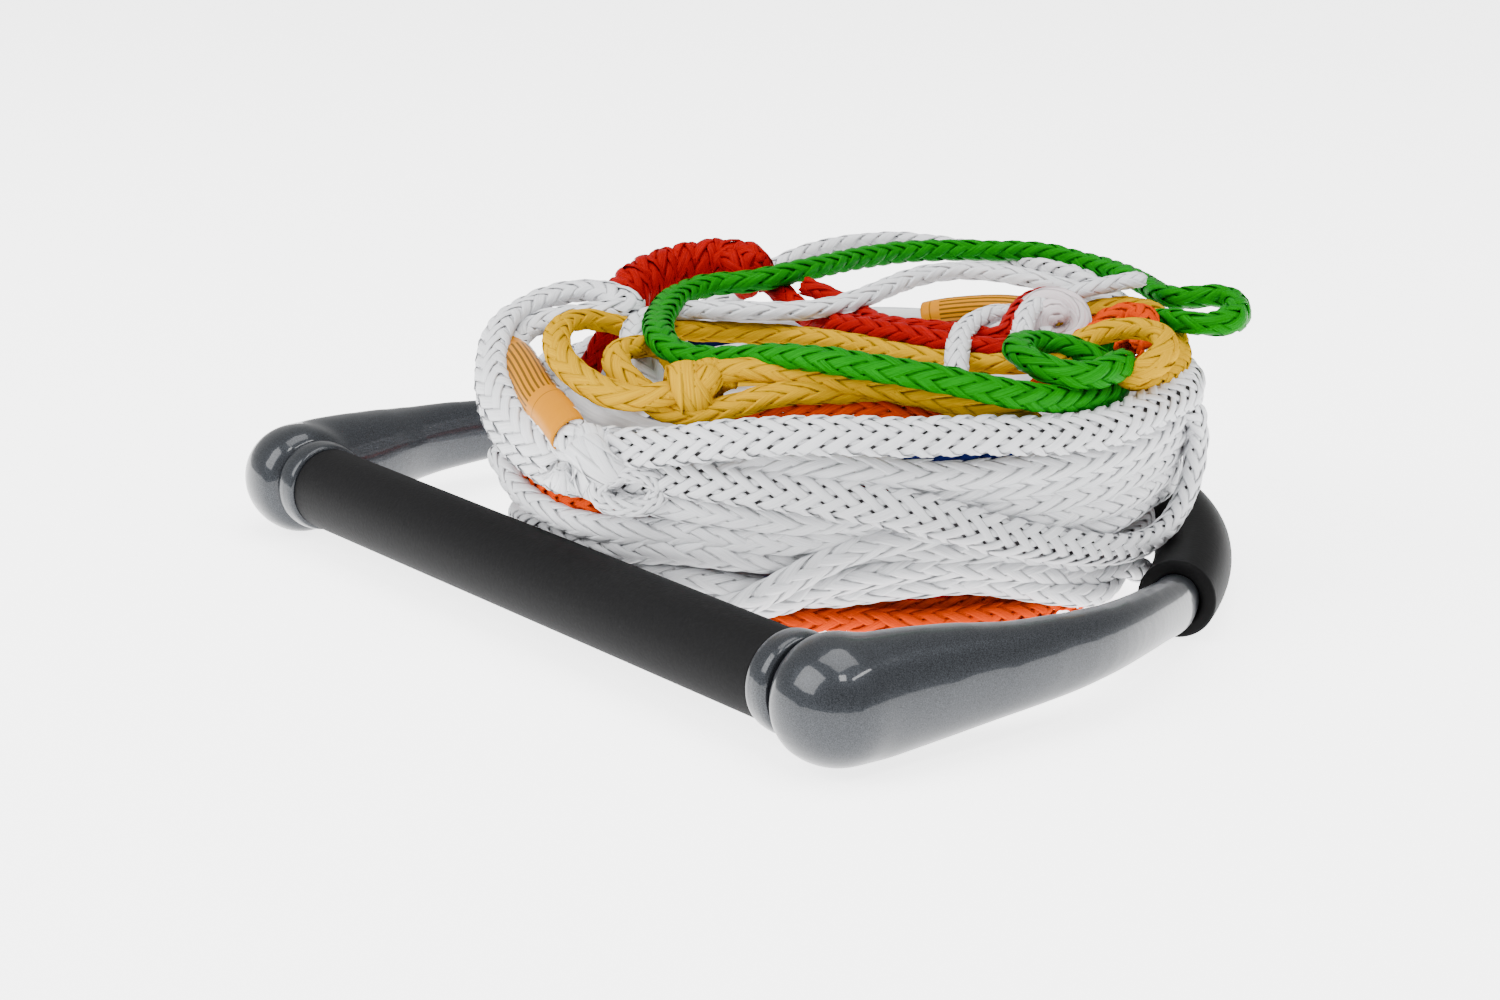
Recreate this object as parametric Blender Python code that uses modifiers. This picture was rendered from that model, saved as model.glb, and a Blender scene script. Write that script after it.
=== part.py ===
"""Water-ski tow rope handle with its main line coiled and laid in the frame.

Frame: metres, +Z up.  The bar lies along X, the moulded arms sweep back along
+Y and the foam floats close the frame behind.  The origin is on the resting
plane, under the middle of the handle's own bounding box.
"""
import math

import bmesh
import bpy
import numpy as np
from mathutils import Matrix, Vector

MM = 0.001

# ---------------------------------------------------------------- dimensions
# All in millimetres, in the handle's layout frame: Y = 0 on the bar's axis.
GAP = 0.3                    # clearance kept between touching pieces

BAR_Z = 19.7                 # height of the bar's axis when the handle rests
BAR_R = 11.0                 # aluminium bar, outer radius
BAR_WALL = 1.5
BAR_HALF = 138.0             # the bar runs into both end caps

GRIP_R = 13.7                # rubber grip, outer radius
GRIP_HALF = 123.7

COLLAR_X0 = 124.0            # flange ring between grip and end cap
COLLAR_X1 = 133.1

PLUG_X0 = 124.0              # closed-cell plugs that keep the bar dry
PLUG_X1 = 136.5
PLUG_R = BAR_R - BAR_WALL - GAP

BULB_X0 = 133.5              # end cap, knob on the bar's axis
BULB_Y = 1.0
BULB_Z = 18.75
BULB_REACH = 165.2           # outermost point: half the overall width
SOCKET_R = BAR_R + GAP
SOCKET_END = 141.0
CAVITY = (150.0, 3.5, 19.3)  # room for the bridle's stopper knot
CAVITY_R = 10.0
KNOT_R = 9.2

ROPE_R = 4.5                 # bridle rope, compressed inside the arms
CHANNEL_R = 4.9
FLOAT_R = 12.4               # foam float, outer radius
FLOAT_BORE_R = 5.3
SPIGOT_R = 7.3               # arm tip inside the float
SPIGOT_LEN = 11.0
COUNTER_R = SPIGOT_R + GAP

# arm: station Y, centre X, centre Z, half width, half height
ARM = [
    (-6.0, 148.8, 19.2, 11.5, 13.5),
    (10.0, 148.6, 19.2, 15.0, 16.6),
    (18.0, 149.4, 19.2, 15.0, 16.4),
    (36.0, 153.1, 19.8, 12.7, 14.7),
    (54.0, 156.6, 20.0, 10.4, 13.5),
    (72.0, 157.6, 20.0, 8.6, 12.5),
    (90.0, 156.2, 19.8, 7.8, 11.2),
    (108.0, 150.9, 18.8, 7.6, 10.2),
    (126.0, 142.9, 16.9, 7.7, 9.5),
    (143.0, 134.0, 14.2, 7.7, 9.3),
]
ARM_TIP_W = 7.6
ARM_TIP_H = 8.9
ARM_POWER = 2.3              # superellipse power of the arm's section

# float centre line: half of an ellipse behind the coil
ARC_A = 176.4
ARC_B = 280.0
ARC_Y0 = -41.7
ARC_T0 = 0.770               # where the arm meets the float
ARC_T1 = 1.5197              # float's inner end, beside the bridle's middle
FLOAT_Z = 12.4

# main line
COIL_Y = 123.0               # coil centre, inside the frame
COIL_TOP = 70.0
LINE_R = 5.5                 # 11 mm braided line
# coil's outer and inner profile: radius, height (top to bottom outside)
COIL_OUT = [(92.0, 70.0), (101.0, 68.5), (109.0, 64.0), (115.0, 57.0),
            (118.0, 48.0), (116.5, 39.0), (111.5, 32.0), (106.0, 27.0),
            (103.2, 20.0), (102.0, 11.0), (100.5, 4.0), (97.5, 0.3)]
COIL_IN = [(62.0, 0.3), (57.0, 6.0), (54.0, 20.0), (53.0, 38.0),
           (55.0, 54.0), (60.0, 64.0), (68.0, 70.0)]

# the handle alone runs from the bulb's front to the float's back in Y
BULB_FRONT = BULB_Y - 19.2
FLOAT_BACK = ARC_Y0 + ARC_B * math.sin(ARC_T1) + FLOAT_R
ORIGIN_Y = 0.5 * (BULB_FRONT + FLOAT_BACK)


# ------------------------------------------------------------------- helpers
def clear_scene():
    for ob in list(bpy.data.objects):
        bpy.data.objects.remove(ob, do_unlink=True)
    for block in (bpy.data.meshes, bpy.data.curves, bpy.data.materials):
        for item in list(block):
            block.remove(item)
    for col in list(bpy.data.collections):
        bpy.data.collections.remove(col)


def collection(name):
    col = bpy.data.collections.new(name)
    bpy.context.scene.collection.children.link(col)
    return col


def material(name, rgb, rough, metal=0.0, coat=0.0):
    mat = bpy.data.materials.new(name)
    mat.use_nodes = True
    bsdf = mat.node_tree.nodes["Principled BSDF"]
    bsdf.inputs["Base Color"].default_value = (*rgb, 1.0)
    bsdf.inputs["Roughness"].default_value = rough
    bsdf.inputs["Metallic"].default_value = metal
    bsdf.inputs["Coat Weight"].default_value = coat
    mat.diffuse_color = (*rgb, 1.0)
    return mat


def place(x, y, z):
    """Layout millimetres to the part's frame in metres."""
    return Vector((x * MM, (y - ORIGIN_Y) * MM, z * MM))


def add(ob, col, mat, parent=None):
    for c in list(ob.users_collection):
        c.objects.unlink(ob)
    col.objects.link(ob)
    if mat is not None:
        ob.data.materials.clear()
        ob.data.materials.append(mat)
    if parent is not None:
        ob.parent = parent
    return ob


def mesh_object(name, bm, col, mat, smooth=True, parent=None):
    me = bpy.data.meshes.new(name)
    bm.normal_update()
    bm.to_mesh(me)
    bm.free()
    ob = bpy.data.objects.new(name, me)
    add(ob, col, mat, parent)
    if smooth:
        me.shade_smooth()
        me.set_sharp_from_angle(angle=math.radians(40))
    return ob


def turned(name, profile, col, mat, at, axis="Z", steps=48, parent=None,
           closed=False):
    """Solid of revolution.  profile: (radius, height) in mm, outer side first,
    top to bottom.  axis is the direction that 'height' points along."""
    pts = [(r * MM, h * MM) for r, h in profile]
    me = bpy.data.meshes.new(name)
    edges = [(i, i + 1) for i in range(len(pts) - 1)]
    if closed:
        edges.append((len(pts) - 1, 0))
    me.from_pydata([(r, 0.0, h) for r, h in pts], edges, [])
    ob = bpy.data.objects.new(name, me)
    add(ob, col, mat, parent)
    mod = ob.modifiers.new("turn", "SCREW")
    mod.axis = "Z"
    mod.steps = steps
    mod.render_steps = steps
    mod.use_merge_vertices = True
    mod.merge_threshold = 0.00005
    mod.use_smooth_shade = True
    ob.location = at
    if axis == "X":
        ob.rotation_euler = (0.0, math.radians(90), 0.0)
    elif axis == "-X":
        ob.rotation_euler = (0.0, math.radians(-90), 0.0)
    return ob


def catmull(points, step):
    """Smooth curve through points, resampled every 'step' mm."""
    P = np.array(points, float)
    P = np.vstack([2 * P[0] - P[1], P, 2 * P[-1] - P[-2]])
    out = []
    for i in range(1, len(P) - 2):
        a, b, c, d = P[i - 1], P[i], P[i + 1], P[i + 2]
        for k in range(12):
            t = k / 12.0
            out.append(0.5 * ((2 * b) + (c - a) * t
                              + (2 * a - 5 * b + 4 * c - d) * t * t
                              + (3 * b - a - 3 * c + d) * t ** 3))
    out.append(P[-2])
    out = np.array(out)
    seg = np.linalg.norm(np.diff(out, axis=0), axis=1)
    s = np.concatenate([[0], np.cumsum(seg)])
    n = max(3, int(round(s[-1] / step)) + 1)
    u = np.linspace(0, s[-1], n)
    return np.stack([np.interp(u, s, out[:, k]) for k in range(3)], 1)


def tube(name, points, radius, col, mat, step=None, res=2, parent=None):
    """Cord or rope: a round bevelled POLY curve with filled caps."""
    if step is not None:
        points = catmull(points, step)
    cu = bpy.data.curves.new(name, "CURVE")
    cu.dimensions = "3D"
    cu.bevel_depth = radius * MM
    cu.bevel_resolution = res
    cu.use_fill_caps = True
    cu.resolution_u = 1
    sp = cu.splines.new("POLY")
    sp.points.add(len(points) - 1)
    for p, q in zip(sp.points, points):
        v = place(*q)
        p.co = (v.x, v.y, v.z, 1.0)
    ob = bpy.data.objects.new(name, cu)
    add(ob, col, mat, parent)
    return ob


def tube_mesh(name, points, radius, col, mat, res=4, parent=None):
    """The same tube as a welded mesh, for cutting or being cut."""
    tmp = tube(name + "_path", points, radius, col, mat, None, res)
    bpy.context.view_layer.update()
    dep = bpy.context.evaluated_depsgraph_get()
    me = bpy.data.meshes.new_from_object(tmp.evaluated_get(dep))
    bm = bmesh.new()
    bm.from_mesh(me)
    bmesh.ops.remove_doubles(bm, verts=bm.verts, dist=1e-6)
    bmesh.ops.recalc_face_normals(bm, faces=bm.faces)
    bm.to_mesh(me)
    bm.free()
    ob = bpy.data.objects.new(name, me)
    ob.matrix_world = tmp.matrix_world
    bpy.data.objects.remove(tmp)
    add(ob, col, mat, parent)
    return ob


def cutter(ob, col):
    for c in list(ob.users_collection):
        c.objects.unlink(ob)
    col.objects.link(ob)
    ob.hide_render = True
    ob.display_type = "WIRE"
    return ob


def boolean(ob, other, operation):
    mod = ob.modifiers.new(operation.lower(), "BOOLEAN")
    mod.operation = operation
    mod.solver = "EXACT"
    mod.object = other
    return mod


def ellipsoid(name, at, radii, col, mat, spin=0.0, u=16, v=10, parent=None):
    bm = bmesh.new()
    bmesh.ops.create_uvsphere(bm, u_segments=u, v_segments=v, radius=1.0)
    bmesh.ops.scale(bm, vec=Vector([r * MM for r in radii]), verts=bm.verts)
    bmesh.ops.rotate(bm, cent=(0, 0, 0), verts=bm.verts,
                     matrix=Matrix.Rotation(spin, 3, "Z"))
    ob = mesh_object(name, bm, col, mat, parent=parent)
    ob.location = place(*at)
    return ob


# ------------------------------------------------------------ centre lines
def arc_point(t):
    return (ARC_A * math.cos(t), ARC_Y0 + ARC_B * math.sin(t), FLOAT_Z)


def arc_speed(t):
    return math.hypot(ARC_A * math.sin(t), ARC_B * math.cos(t))


def arc_advance(t, length):
    """Parameter reached after 'length' mm along the float's centre line."""
    n = 60
    for _ in range(n):
        t += (length / n) / arc_speed(t)
    return t


def arc_points(t0, t1, step):
    n = max(2, int(round((t1 - t0) * arc_speed(0.5 * (t0 + t1)) / step)))
    return [arc_point(t0 + (t1 - t0) * i / n) for i in range(n + 1)]


def mirrored(points, side):
    return [(side * x, y, z) for x, y, z in points]


def arm_sections():
    """Sections (centre, half width, half height, power) along one arm."""
    st = np.array(ARM, float)
    tip = arc_point(ARC_T0 - 1.0 / arc_speed(ARC_T0))
    st = np.vstack([st, [tip[1], tip[0], tip[2] + 0.2, ARM_TIP_W, ARM_TIP_H]])
    rows = []
    for i in range(len(st) - 1):
        a = st[max(i - 1, 0)]
        b, c = st[i], st[i + 1]
        d = st[min(i + 2, len(st) - 1)]
        for k in range(2):
            t = k / 2.0
            rows.append(0.5 * ((2 * b) + (c - a) * t
                               + (2 * a - 5 * b + 4 * c - d) * t * t
                               + (3 * b - a - 3 * c + d) * t ** 3))
    rows.append(st[-1])
    out = [((r[1], r[0], r[2]), r[3], r[4], ARM_POWER) for r in rows]
    out.append((arc_point(ARC_T0 - 0.7 / arc_speed(ARC_T0)),
                SPIGOT_R, SPIGOT_R, 2.0))
    for i in range(1, 4):
        t = arc_advance(ARC_T0, SPIGOT_LEN * i / 3.0)
        out.append((arc_point(t), SPIGOT_R, SPIGOT_R, 2.0))
    return out


def loft(name, sections, side, col, mat, n=20, parent=None):
    """Closed loft through upright superelliptic sections."""
    bm = bmesh.new()
    centres = [np.array(s[0]) for s in sections]
    rings = []
    for i, (c, w, h, power) in enumerate(sections):
        a = centres[max(i - 1, 0)]
        b = centres[min(i + 1, len(sections) - 1)]
        d = b - a
        d[2] = 0.0
        d /= np.linalg.norm(d)
        across = np.array((d[1], -d[0], 0.0))
        ring = []
        for k in range(n):
            ang = 2 * math.pi * k / n
            ca, sa = math.cos(ang), math.sin(ang)
            u = math.copysign(abs(ca) ** (2.0 / power), ca)
            v = math.copysign(abs(sa) ** (2.0 / power), sa)
            p = np.array(c) + across * (w * u)
            p[2] += h * v
            ring.append(bm.verts.new(place(side * p[0], p[1], p[2])))
        rings.append(ring)
    for r0, r1 in zip(rings[:-1], rings[1:]):
        for k in range(n):
            j = (k + 1) % n
            bm.faces.new((r0[k], r0[j], r1[j], r1[k]))
    bm.faces.new(rings[0][::-1])
    bm.faces.new(rings[-1])
    bmesh.ops.recalc_face_normals(bm, faces=bm.faces)
    return mesh_object(name, bm, col, mat, parent=parent)


def bridle_half():
    """Bridle rope's centre line from one stopper knot to the middle."""
    sec = arm_sections()
    pts = [(CAVITY[0], CAVITY[1] + KNOT_R + GAP, CAVITY[2])]
    for c, w, h, power in sec:
        if c[1] > 24.0 and c[1] < 146.0:
            pts.append(c)
    t0 = ARC_T0 - 1.0 / arc_speed(ARC_T0)
    pts += arc_points(t0, math.pi / 2, 14.0)
    out = [tuple(p) for p in catmull(pts, 13.0)]
    out[-1] = (0.0, out[-1][1], out[-1][2])
    return out


# ------------------------------------------------------------------ the part
def build():
    clear_scene()
    parts = collection("tow_rope_handle")
    tools = collection("cutters")

    grey = material("moulded_grey", (0.27, 0.29, 0.31), 0.28, 0.45, 0.6)
    black = material("grip_rubber", (0.018, 0.018, 0.019), 0.72)
    foam = material("float_foam", (0.020, 0.020, 0.020), 0.62)
    alloy = material("aluminium", (0.72, 0.73, 0.74), 0.32, 1.0)
    plug = material("plug_rubber", (0.04, 0.04, 0.045), 0.8)
    white = material("line_white", (0.80, 0.81, 0.82), 0.55)
    green = material("line_green", (0.0, 0.33, 0.02), 0.5)
    yellow = material("line_yellow", (0.90, 0.66, 0.0), 0.5)
    red = material("line_red", (0.58, 0.01, 0.01), 0.5)
    orange = material("line_orange", (0.82, 0.14, 0.0), 0.5)
    label = material("label_yellow", (0.90, 0.52, 0.02), 0.35)

    handle = bpy.data.objects.new("handle_frame", None)
    line = bpy.data.objects.new("line_frame", None)
    for empty in (handle, line):
        parts.objects.link(empty)

    axis_at = place(0.0, 0.0, BAR_Z)

    # --- bar, grip, collars, plugs -----------------------------------------
    turned("bar_tube",
           [(BAR_R, BAR_HALF), (BAR_R, -BAR_HALF),
            (BAR_R - BAR_WALL, -BAR_HALF), (BAR_R - BAR_WALL, BAR_HALF)],
           parts, alloy, axis_at, "X", 32, handle, closed=True)
    lip = 0.8
    turned("grip_sleeve",
           [(GRIP_R - lip, GRIP_HALF), (GRIP_R, GRIP_HALF - lip),
            (GRIP_R, -GRIP_HALF + lip), (GRIP_R - lip, -GRIP_HALF),
            (BAR_R + GAP, -GRIP_HALF), (BAR_R + GAP, GRIP_HALF)],
           parts, black, axis_at, "X", 32, handle, closed=True)
    for side, word in ((1, "right"), (-1, "left")):
        axis = "X" if side > 0 else "-X"
        width = COLLAR_X1 - COLLAR_X0
        collar = [(14.9, width), (15.3, width * 0.72), (15.25, width * 0.4),
                  (14.95, width * 0.14), (14.3, 0.0),
                  (BAR_R + GAP, 0.0), (BAR_R + GAP, width)]
        turned(word + "_collar", collar, parts, grey,
               place(side * COLLAR_X0, 0.0, BAR_Z), axis, 32, handle,
               closed=True)
        turned(word + "_bar_plug",
               [(0.0, PLUG_X1 - PLUG_X0), (PLUG_R - 0.6, PLUG_X1 - PLUG_X0),
                (PLUG_R, PLUG_X1 - PLUG_X0 - 0.8), (PLUG_R, 0.8),
                (PLUG_R - 0.6, 0.0), (0.0, 0.0)],
               parts, plug, place(side * PLUG_X0, 0.0, BAR_Z), axis, 24,
               handle)

    # --- moulded end caps with their arms -----------------------------------
    reach = BULB_REACH - BULB_X0
    bulb = [(0.0, reach), (5.2, reach - 0.9), (10.2, reach - 3.5),
            (14.6, reach - 7.6), (17.5, reach - 12.4), (18.9, reach - 17.3),
            (19.2, reach - 21.6), (18.7, reach - 25.2), (17.6, reach - 28.2),
            (16.2, reach - 30.4), (15.2, 0.0), (0.0, 0.0)]
    for side, word in ((1, "right"), (-1, "left")):
        axis = "X" if side > 0 else "-X"
        cap = loft(word + "_end_cap", arm_sections(), side, parts, grey,
                   parent=handle)
        knob = turned(word + "_knob_form", bulb, tools, None,
                      place(side * BULB_X0, BULB_Y, BULB_Z), axis, 32)
        boolean(cap, cutter(knob, tools), "UNION")
        socket = turned(word + "_socket_tool",
                        [(0.0, 12.0), (SOCKET_R, 12.0),
                         (SOCKET_R, -12.0), (0.0, -12.0)], tools, None,
                        place(side * (SOCKET_END - 12.0), 0.0, BAR_Z),
                        axis, 28)
        boolean(cap, cutter(socket, tools), "DIFFERENCE")
        room = ellipsoid(word + "_cavity_tool", (side * CAVITY[0], CAVITY[1],
                                                 CAVITY[2]),
                         (CAVITY_R, CAVITY_R, CAVITY_R), tools, None,
                         u=16, v=10)
        boolean(cap, cutter(room, tools), "DIFFERENCE")
        path = bridle_half()
        t_end = arc_advance(ARC_T0, SPIGOT_LEN + 13.0)
        run = [(CAVITY[0], CAVITY[1] + 4.0, CAVITY[2])]
        run += [p for p in path if p[1] < arc_point(t_end)[1]]
        bore = tube_mesh(word + "_channel_tool", mirrored(run, side),
                         CHANNEL_R, tools, None, res=4)
        boolean(cap, cutter(bore, tools), "DIFFERENCE")
        floor = bmesh.new()
        bmesh.ops.create_cube(floor, size=1.0)
        bmesh.ops.scale(floor, vec=(0.08, 0.08, 0.02), verts=floor.verts)
        flat = mesh_object(word + "_foot_tool", floor, tools, None, False)
        # levels the knob's underside into a small flat foot
        flat.location = place(side * 149.0, 1.0, -10.0)
        boolean(cap, cutter(flat, tools), "DIFFERENCE")
        ellipsoid(word + "_stopper_knot",
                  (side * CAVITY[0], CAVITY[1], CAVITY[2]),
                  (KNOT_R - 0.1, KNOT_R, KNOT_R - 0.1), parts, white,
                  parent=handle)

    # --- bridle and floats ---------------------------------------------------
    half = bridle_half()
    whole = half[:-1] + [half[-1]] + [(-x, y, z) for x, y, z in half[-2::-1]]
    tube("bridle_rope", whole, ROPE_R, parts, white, res=2, parent=handle)
    for side, word in ((1, "right"), (-1, "left")):
        body = tube_mesh(word + "_float",
                         mirrored(arc_points(ARC_T0, ARC_T1, 12.0), side),
                         FLOAT_R, parts, foam, res=5, parent=handle)
        core = tube_mesh(word + "_float_bore",
                         mirrored(arc_points(ARC_T0 - 0.03, ARC_T1 + 0.03,
                                             12.0), side),
                         FLOAT_BORE_R, tools, None, res=3)
        boolean(body, cutter(core, tools), "DIFFERENCE")
        seat = tube_mesh(word + "_float_seat",
                         mirrored(arc_points(ARC_T0 - 0.03,
                                             arc_advance(ARC_T0, SPIGOT_LEN
                                                         + GAP + 0.4), 4.0),
                                  side), COUNTER_R + 0.15, tools, None, res=6)
        boolean(body, cutter(seat, tools), "DIFFERENCE")

    # --- the main line -------------------------------------------------------
    turned("bridle_hitch",
           [(8.2, 8.0), (9.8, 5.6), (10.0, 1.2), (9.2, 0.0), (10.0, -1.2),
            (9.8, -5.6), (8.2, -8.0), (ROPE_R + GAP + 0.2, -8.0),
            (ROPE_R + GAP + 0.2, 8.0)],
           parts, white, place(0.0, ARC_Y0 + ARC_B, FLOAT_Z), "X", 20, line,
           closed=True)
    turned("line_coil", COIL_OUT + COIL_IN, parts, white,
           place(0.0, COIL_Y, 0.0), "Z", 40, line, closed=True)

    low = COIL_TOP + GAP + LINE_R + 0.4        # first layer on the coil
    high = low + 2 * LINE_R + 0.7              # layer that crosses over it
    tube("handle_section",
         [(0, 239.5, 25.4), (0, 242, 31), (1, 247.5, 38), (5, 251.5, 48), (13, 248, 61),
          (24, 237, 72), (34, 221, low), (38, 204, low), (29, 189, low),
          (9, 179, low), (-2, 158, low), (-1, 128, low), (-8, 101, low),
          (-23, 83, low)],
         LINE_R, parts, white, step=17.0, parent=line)
    tube("green_section",
         [(22, 34, high), (-4, 54, high), (-33, 78, high), (-43, 104, high),
          (-34, 130, high), (-40, 166, high), (-46, 190, high),
          (-38, 212, high), (-18, 228, high), (8, 234, high),
          (36, 230, high)],
         LINE_R, parts, green, step=18.0, parent=line)
    tube("green_eye",
         [(56, 214, high), (61, 229, high), (74, 236, high),
          (91, 228, high), (99, 210, high), (99, 192, high),
          (92, 182, high)],
         5.0, parts, green, step=12.0, parent=line)
    tube("green_front_run",
         [(64, 41, high), (80, 51, high), (95, 68, high), (106, 92, high),
          (111, 118, high), (108, 146, high), (103, 160, high)],
         LINE_R, parts, green, step=18.0, parent=line)
    tube("yellow_loop",
         [(-22, 62, low), (-34, 52, low), (-31, 35, low), (-13, 25, low),
          (10, 20, low), (34, 19, low), (45, 20, low)],
         LINE_R, parts, yellow, step=15.0, parent=line)
    ellipsoid("yellow_knot", (57.5, 22.5, low + 2.5), (9.5, 8.5, 7.5),
              parts, yellow, spin=0.4, parent=line)
    tube("yellow_section",
         [(67, 33, low), (78, 55, low), (91, 77, low), (102, 101, low),
          (107, 127, low), (106, 151, low), (97, 170, low), (84, 172, low),
          (77, 160, low), (80, 145, low)],
         LINE_R, parts, yellow, step=17.0, parent=line)
    tube("red_chain",
         [(-62, 84, COIL_TOP + 9.6), (-64, 102, COIL_TOP + 9.6),
          (-61, 122, COIL_TOP + 9.6)],
         9.0, parts, red, step=13.0, res=3, parent=line)
    tube("red_section",
         [(15, 118, low), (32, 120, low), (50, 123, low), (66, 131, low)],
         LINE_R, parts, red, step=16.0, parent=line)
    ellipsoid("end_knot", (55.5, 153.0, low + 3.5), (10.0, 9.0, 9.0),
              parts, white, spin=0.5, parent=line)
    tube("line_tail",
         [(55, 165, high - 3.5), (53, 184, high + 1), (55, 204, high + 1)],
         4.0, parts, white, step=10.0, parent=line)
    tube("orange_end",
         [(72, 178, low), (72, 187, low + 2), (73, 197, low)],
         4.6, parts, orange, step=9.0, parent=line)
    tube("label_sleeve_front",
         [(-48, 19, 77), (-30, 8, 75.5), (-8, 1, 72), (13, -1, 66.5)],
         6.4, parts, label, step=12.0, res=3, parent=line)
    tube("label_sleeve_rear",
         [(16, 153, low + 0.8), (26, 161, low + 0.8), (38, 168, low + 0.8)],
         6.2, parts, label, step=11.0, res=3, parent=line)
    tube("white_eye",
         [(-53, 26, 80), (-62, 39, 86), (-64, 54, 88), (-53, 63, 85),
          (-43, 57, 79)],
         LINE_R, parts, white, step=12.0, parent=line)
    ellipsoid("front_knot", (31.0, -1.5, 61.0), (12.5, 7.5, 12.5), parts,
              white, spin=0.25, parent=line)


build()
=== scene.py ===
"""Looks of the tow rope handle: moulded end caps, grip, foam floats and a coiled braided line."""
import math

import bpy
import bmesh
import numpy as np
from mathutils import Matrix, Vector


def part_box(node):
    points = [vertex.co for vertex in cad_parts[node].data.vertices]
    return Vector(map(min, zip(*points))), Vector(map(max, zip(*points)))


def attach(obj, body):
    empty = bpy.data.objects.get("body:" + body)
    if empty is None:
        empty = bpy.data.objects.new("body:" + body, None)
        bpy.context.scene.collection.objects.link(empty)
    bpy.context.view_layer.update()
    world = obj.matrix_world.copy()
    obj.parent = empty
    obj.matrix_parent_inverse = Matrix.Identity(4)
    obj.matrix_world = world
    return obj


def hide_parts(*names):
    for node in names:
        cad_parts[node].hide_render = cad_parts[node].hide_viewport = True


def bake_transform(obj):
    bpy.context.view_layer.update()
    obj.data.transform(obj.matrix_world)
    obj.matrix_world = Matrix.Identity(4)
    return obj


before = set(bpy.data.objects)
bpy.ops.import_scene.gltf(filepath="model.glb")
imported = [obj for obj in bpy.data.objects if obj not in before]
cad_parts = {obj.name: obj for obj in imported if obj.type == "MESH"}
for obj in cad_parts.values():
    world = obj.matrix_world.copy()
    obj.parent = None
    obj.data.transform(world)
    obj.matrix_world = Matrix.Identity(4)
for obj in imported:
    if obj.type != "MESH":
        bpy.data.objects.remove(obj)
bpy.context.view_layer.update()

MM = 0.001
grip_lo, grip_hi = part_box("grip_sleeve")
OY = -0.5 * (grip_lo[1] + grip_hi[1]) / MM          # layout mm: Y = 0 on the bar's axis
BAR_Z = 0.5 * (grip_lo[2] + grip_hi[2]) / MM
RNG = np.random.RandomState(11)
CX, CY = 0.0, 123.0                                  # coil axis, layout mm


def to_m(P):
    P = np.asarray(P, float)
    return (P - np.array([0.0, OY, 0.0])) * MM


# ------------------------------------------------------------ meshes from arrays
def mesh_piece(name, V, quads, tris=None, uv=None, mats=(), mat_index=None, smooth=True):
    """V in layout mm; quads (n,4) and tris (m,3) index arrays; uv per corner."""
    me = bpy.data.meshes.new(name)
    quads = np.asarray(quads if quads is not None else np.zeros((0, 4)), np.int32).reshape(-1, 4)
    tris = np.asarray(tris if tris is not None else np.zeros((0, 3)), np.int32).reshape(-1, 3)
    co = to_m(V).astype(np.float32)
    me.vertices.add(len(co))
    me.vertices.foreach_set("co", co.ravel())
    loops = np.concatenate([quads.ravel(), tris.ravel()])
    me.loops.add(len(loops))
    me.loops.foreach_set("vertex_index", loops)
    nq, nt = len(quads), len(tris)
    start = np.concatenate([np.arange(nq) * 4, nq * 4 + np.arange(nt) * 3]).astype(np.int32)
    total = np.concatenate([np.full(nq, 4), np.full(nt, 3)]).astype(np.int32)
    me.polygons.add(nq + nt)
    me.polygons.foreach_set("loop_start", start)
    me.polygons.foreach_set("loop_total", total)
    me.polygons.foreach_set("use_smooth", np.full(nq + nt, smooth))
    for m in mats:
        me.materials.append(m)
    if mat_index is not None:
        me.polygons.foreach_set("material_index", np.asarray(mat_index, np.int32))
    if uv is not None:
        layer = me.uv_layers.new(name="strand")
        layer.data.foreach_set("uv", np.asarray(uv, np.float32).ravel())
    me.update(calc_edges=True)
    me.validate()
    ob = bpy.data.objects.new(name, me)
    bpy.context.scene.collection.objects.link(ob)
    return ob


def grid_faces(ns, nr, base=0, closed=True):
    """Quads of an ns x nr grid of rings, ring index fastest."""
    i = np.arange(ns - 1)[:, None] * nr
    j = np.arange(nr)[None, :]
    j2 = (j + 1) % nr
    q = np.stack([i + j, i + j2, i + nr + j2, i + nr + j], -1)
    if not closed:
        q = q[:, :-1]
    return q.reshape(-1, 4) + base


def resample(P, step):
    P = np.asarray(P, float)
    d = np.linalg.norm(np.diff(P, axis=0), axis=1)
    s = np.concatenate([[0], np.cumsum(d)])
    n = max(2, int(round(s[-1] / step)) + 1)
    t = np.linspace(0, s[-1], n)
    return np.stack([np.interp(t, s, P[:, k]) for k in range(3)], 1)


def carry(P, N, Q):
    """Normals N given at the points of P, read off at the evenly spaced points Q of the same path."""
    d = np.linalg.norm(np.diff(np.asarray(P, float), axis=0), axis=1)
    s = np.concatenate([[0], np.cumsum(d)])
    t = np.linspace(0, s[-1], len(Q))
    return unit(np.stack([np.interp(t, s, np.asarray(N, float)[:, k]) for k in range(3)], 1))


def spline(P, step):
    """Catmull-Rom through P, then resampled to even steps."""
    P = np.asarray(P, float)
    Q = np.vstack([2 * P[0] - P[1], P, 2 * P[-1] - P[-2]])
    out = []
    for i in range(1, len(Q) - 2):
        a, b, c, d = Q[i - 1], Q[i], Q[i + 1], Q[i + 2]
        m = max(3, int(np.linalg.norm(c - b) / 1.5))
        t = np.linspace(0, 1, m, endpoint=False)[:, None]
        out.append(0.5 * ((2 * b) + (-a + c) * t + (2 * a - 5 * b + 4 * c - d) * t ** 2
                          + (-a + 3 * b - 3 * c + d) * t ** 3))
    out.append(P[-1:])
    return resample(np.vstack(out), step)


def smooth_path(P, rounds=2):
    P = P.copy()
    for _ in range(rounds):
        P[1:-1] = 0.5 * P[1:-1] + 0.25 * (P[:-2] + P[2:])
    return P


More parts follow.
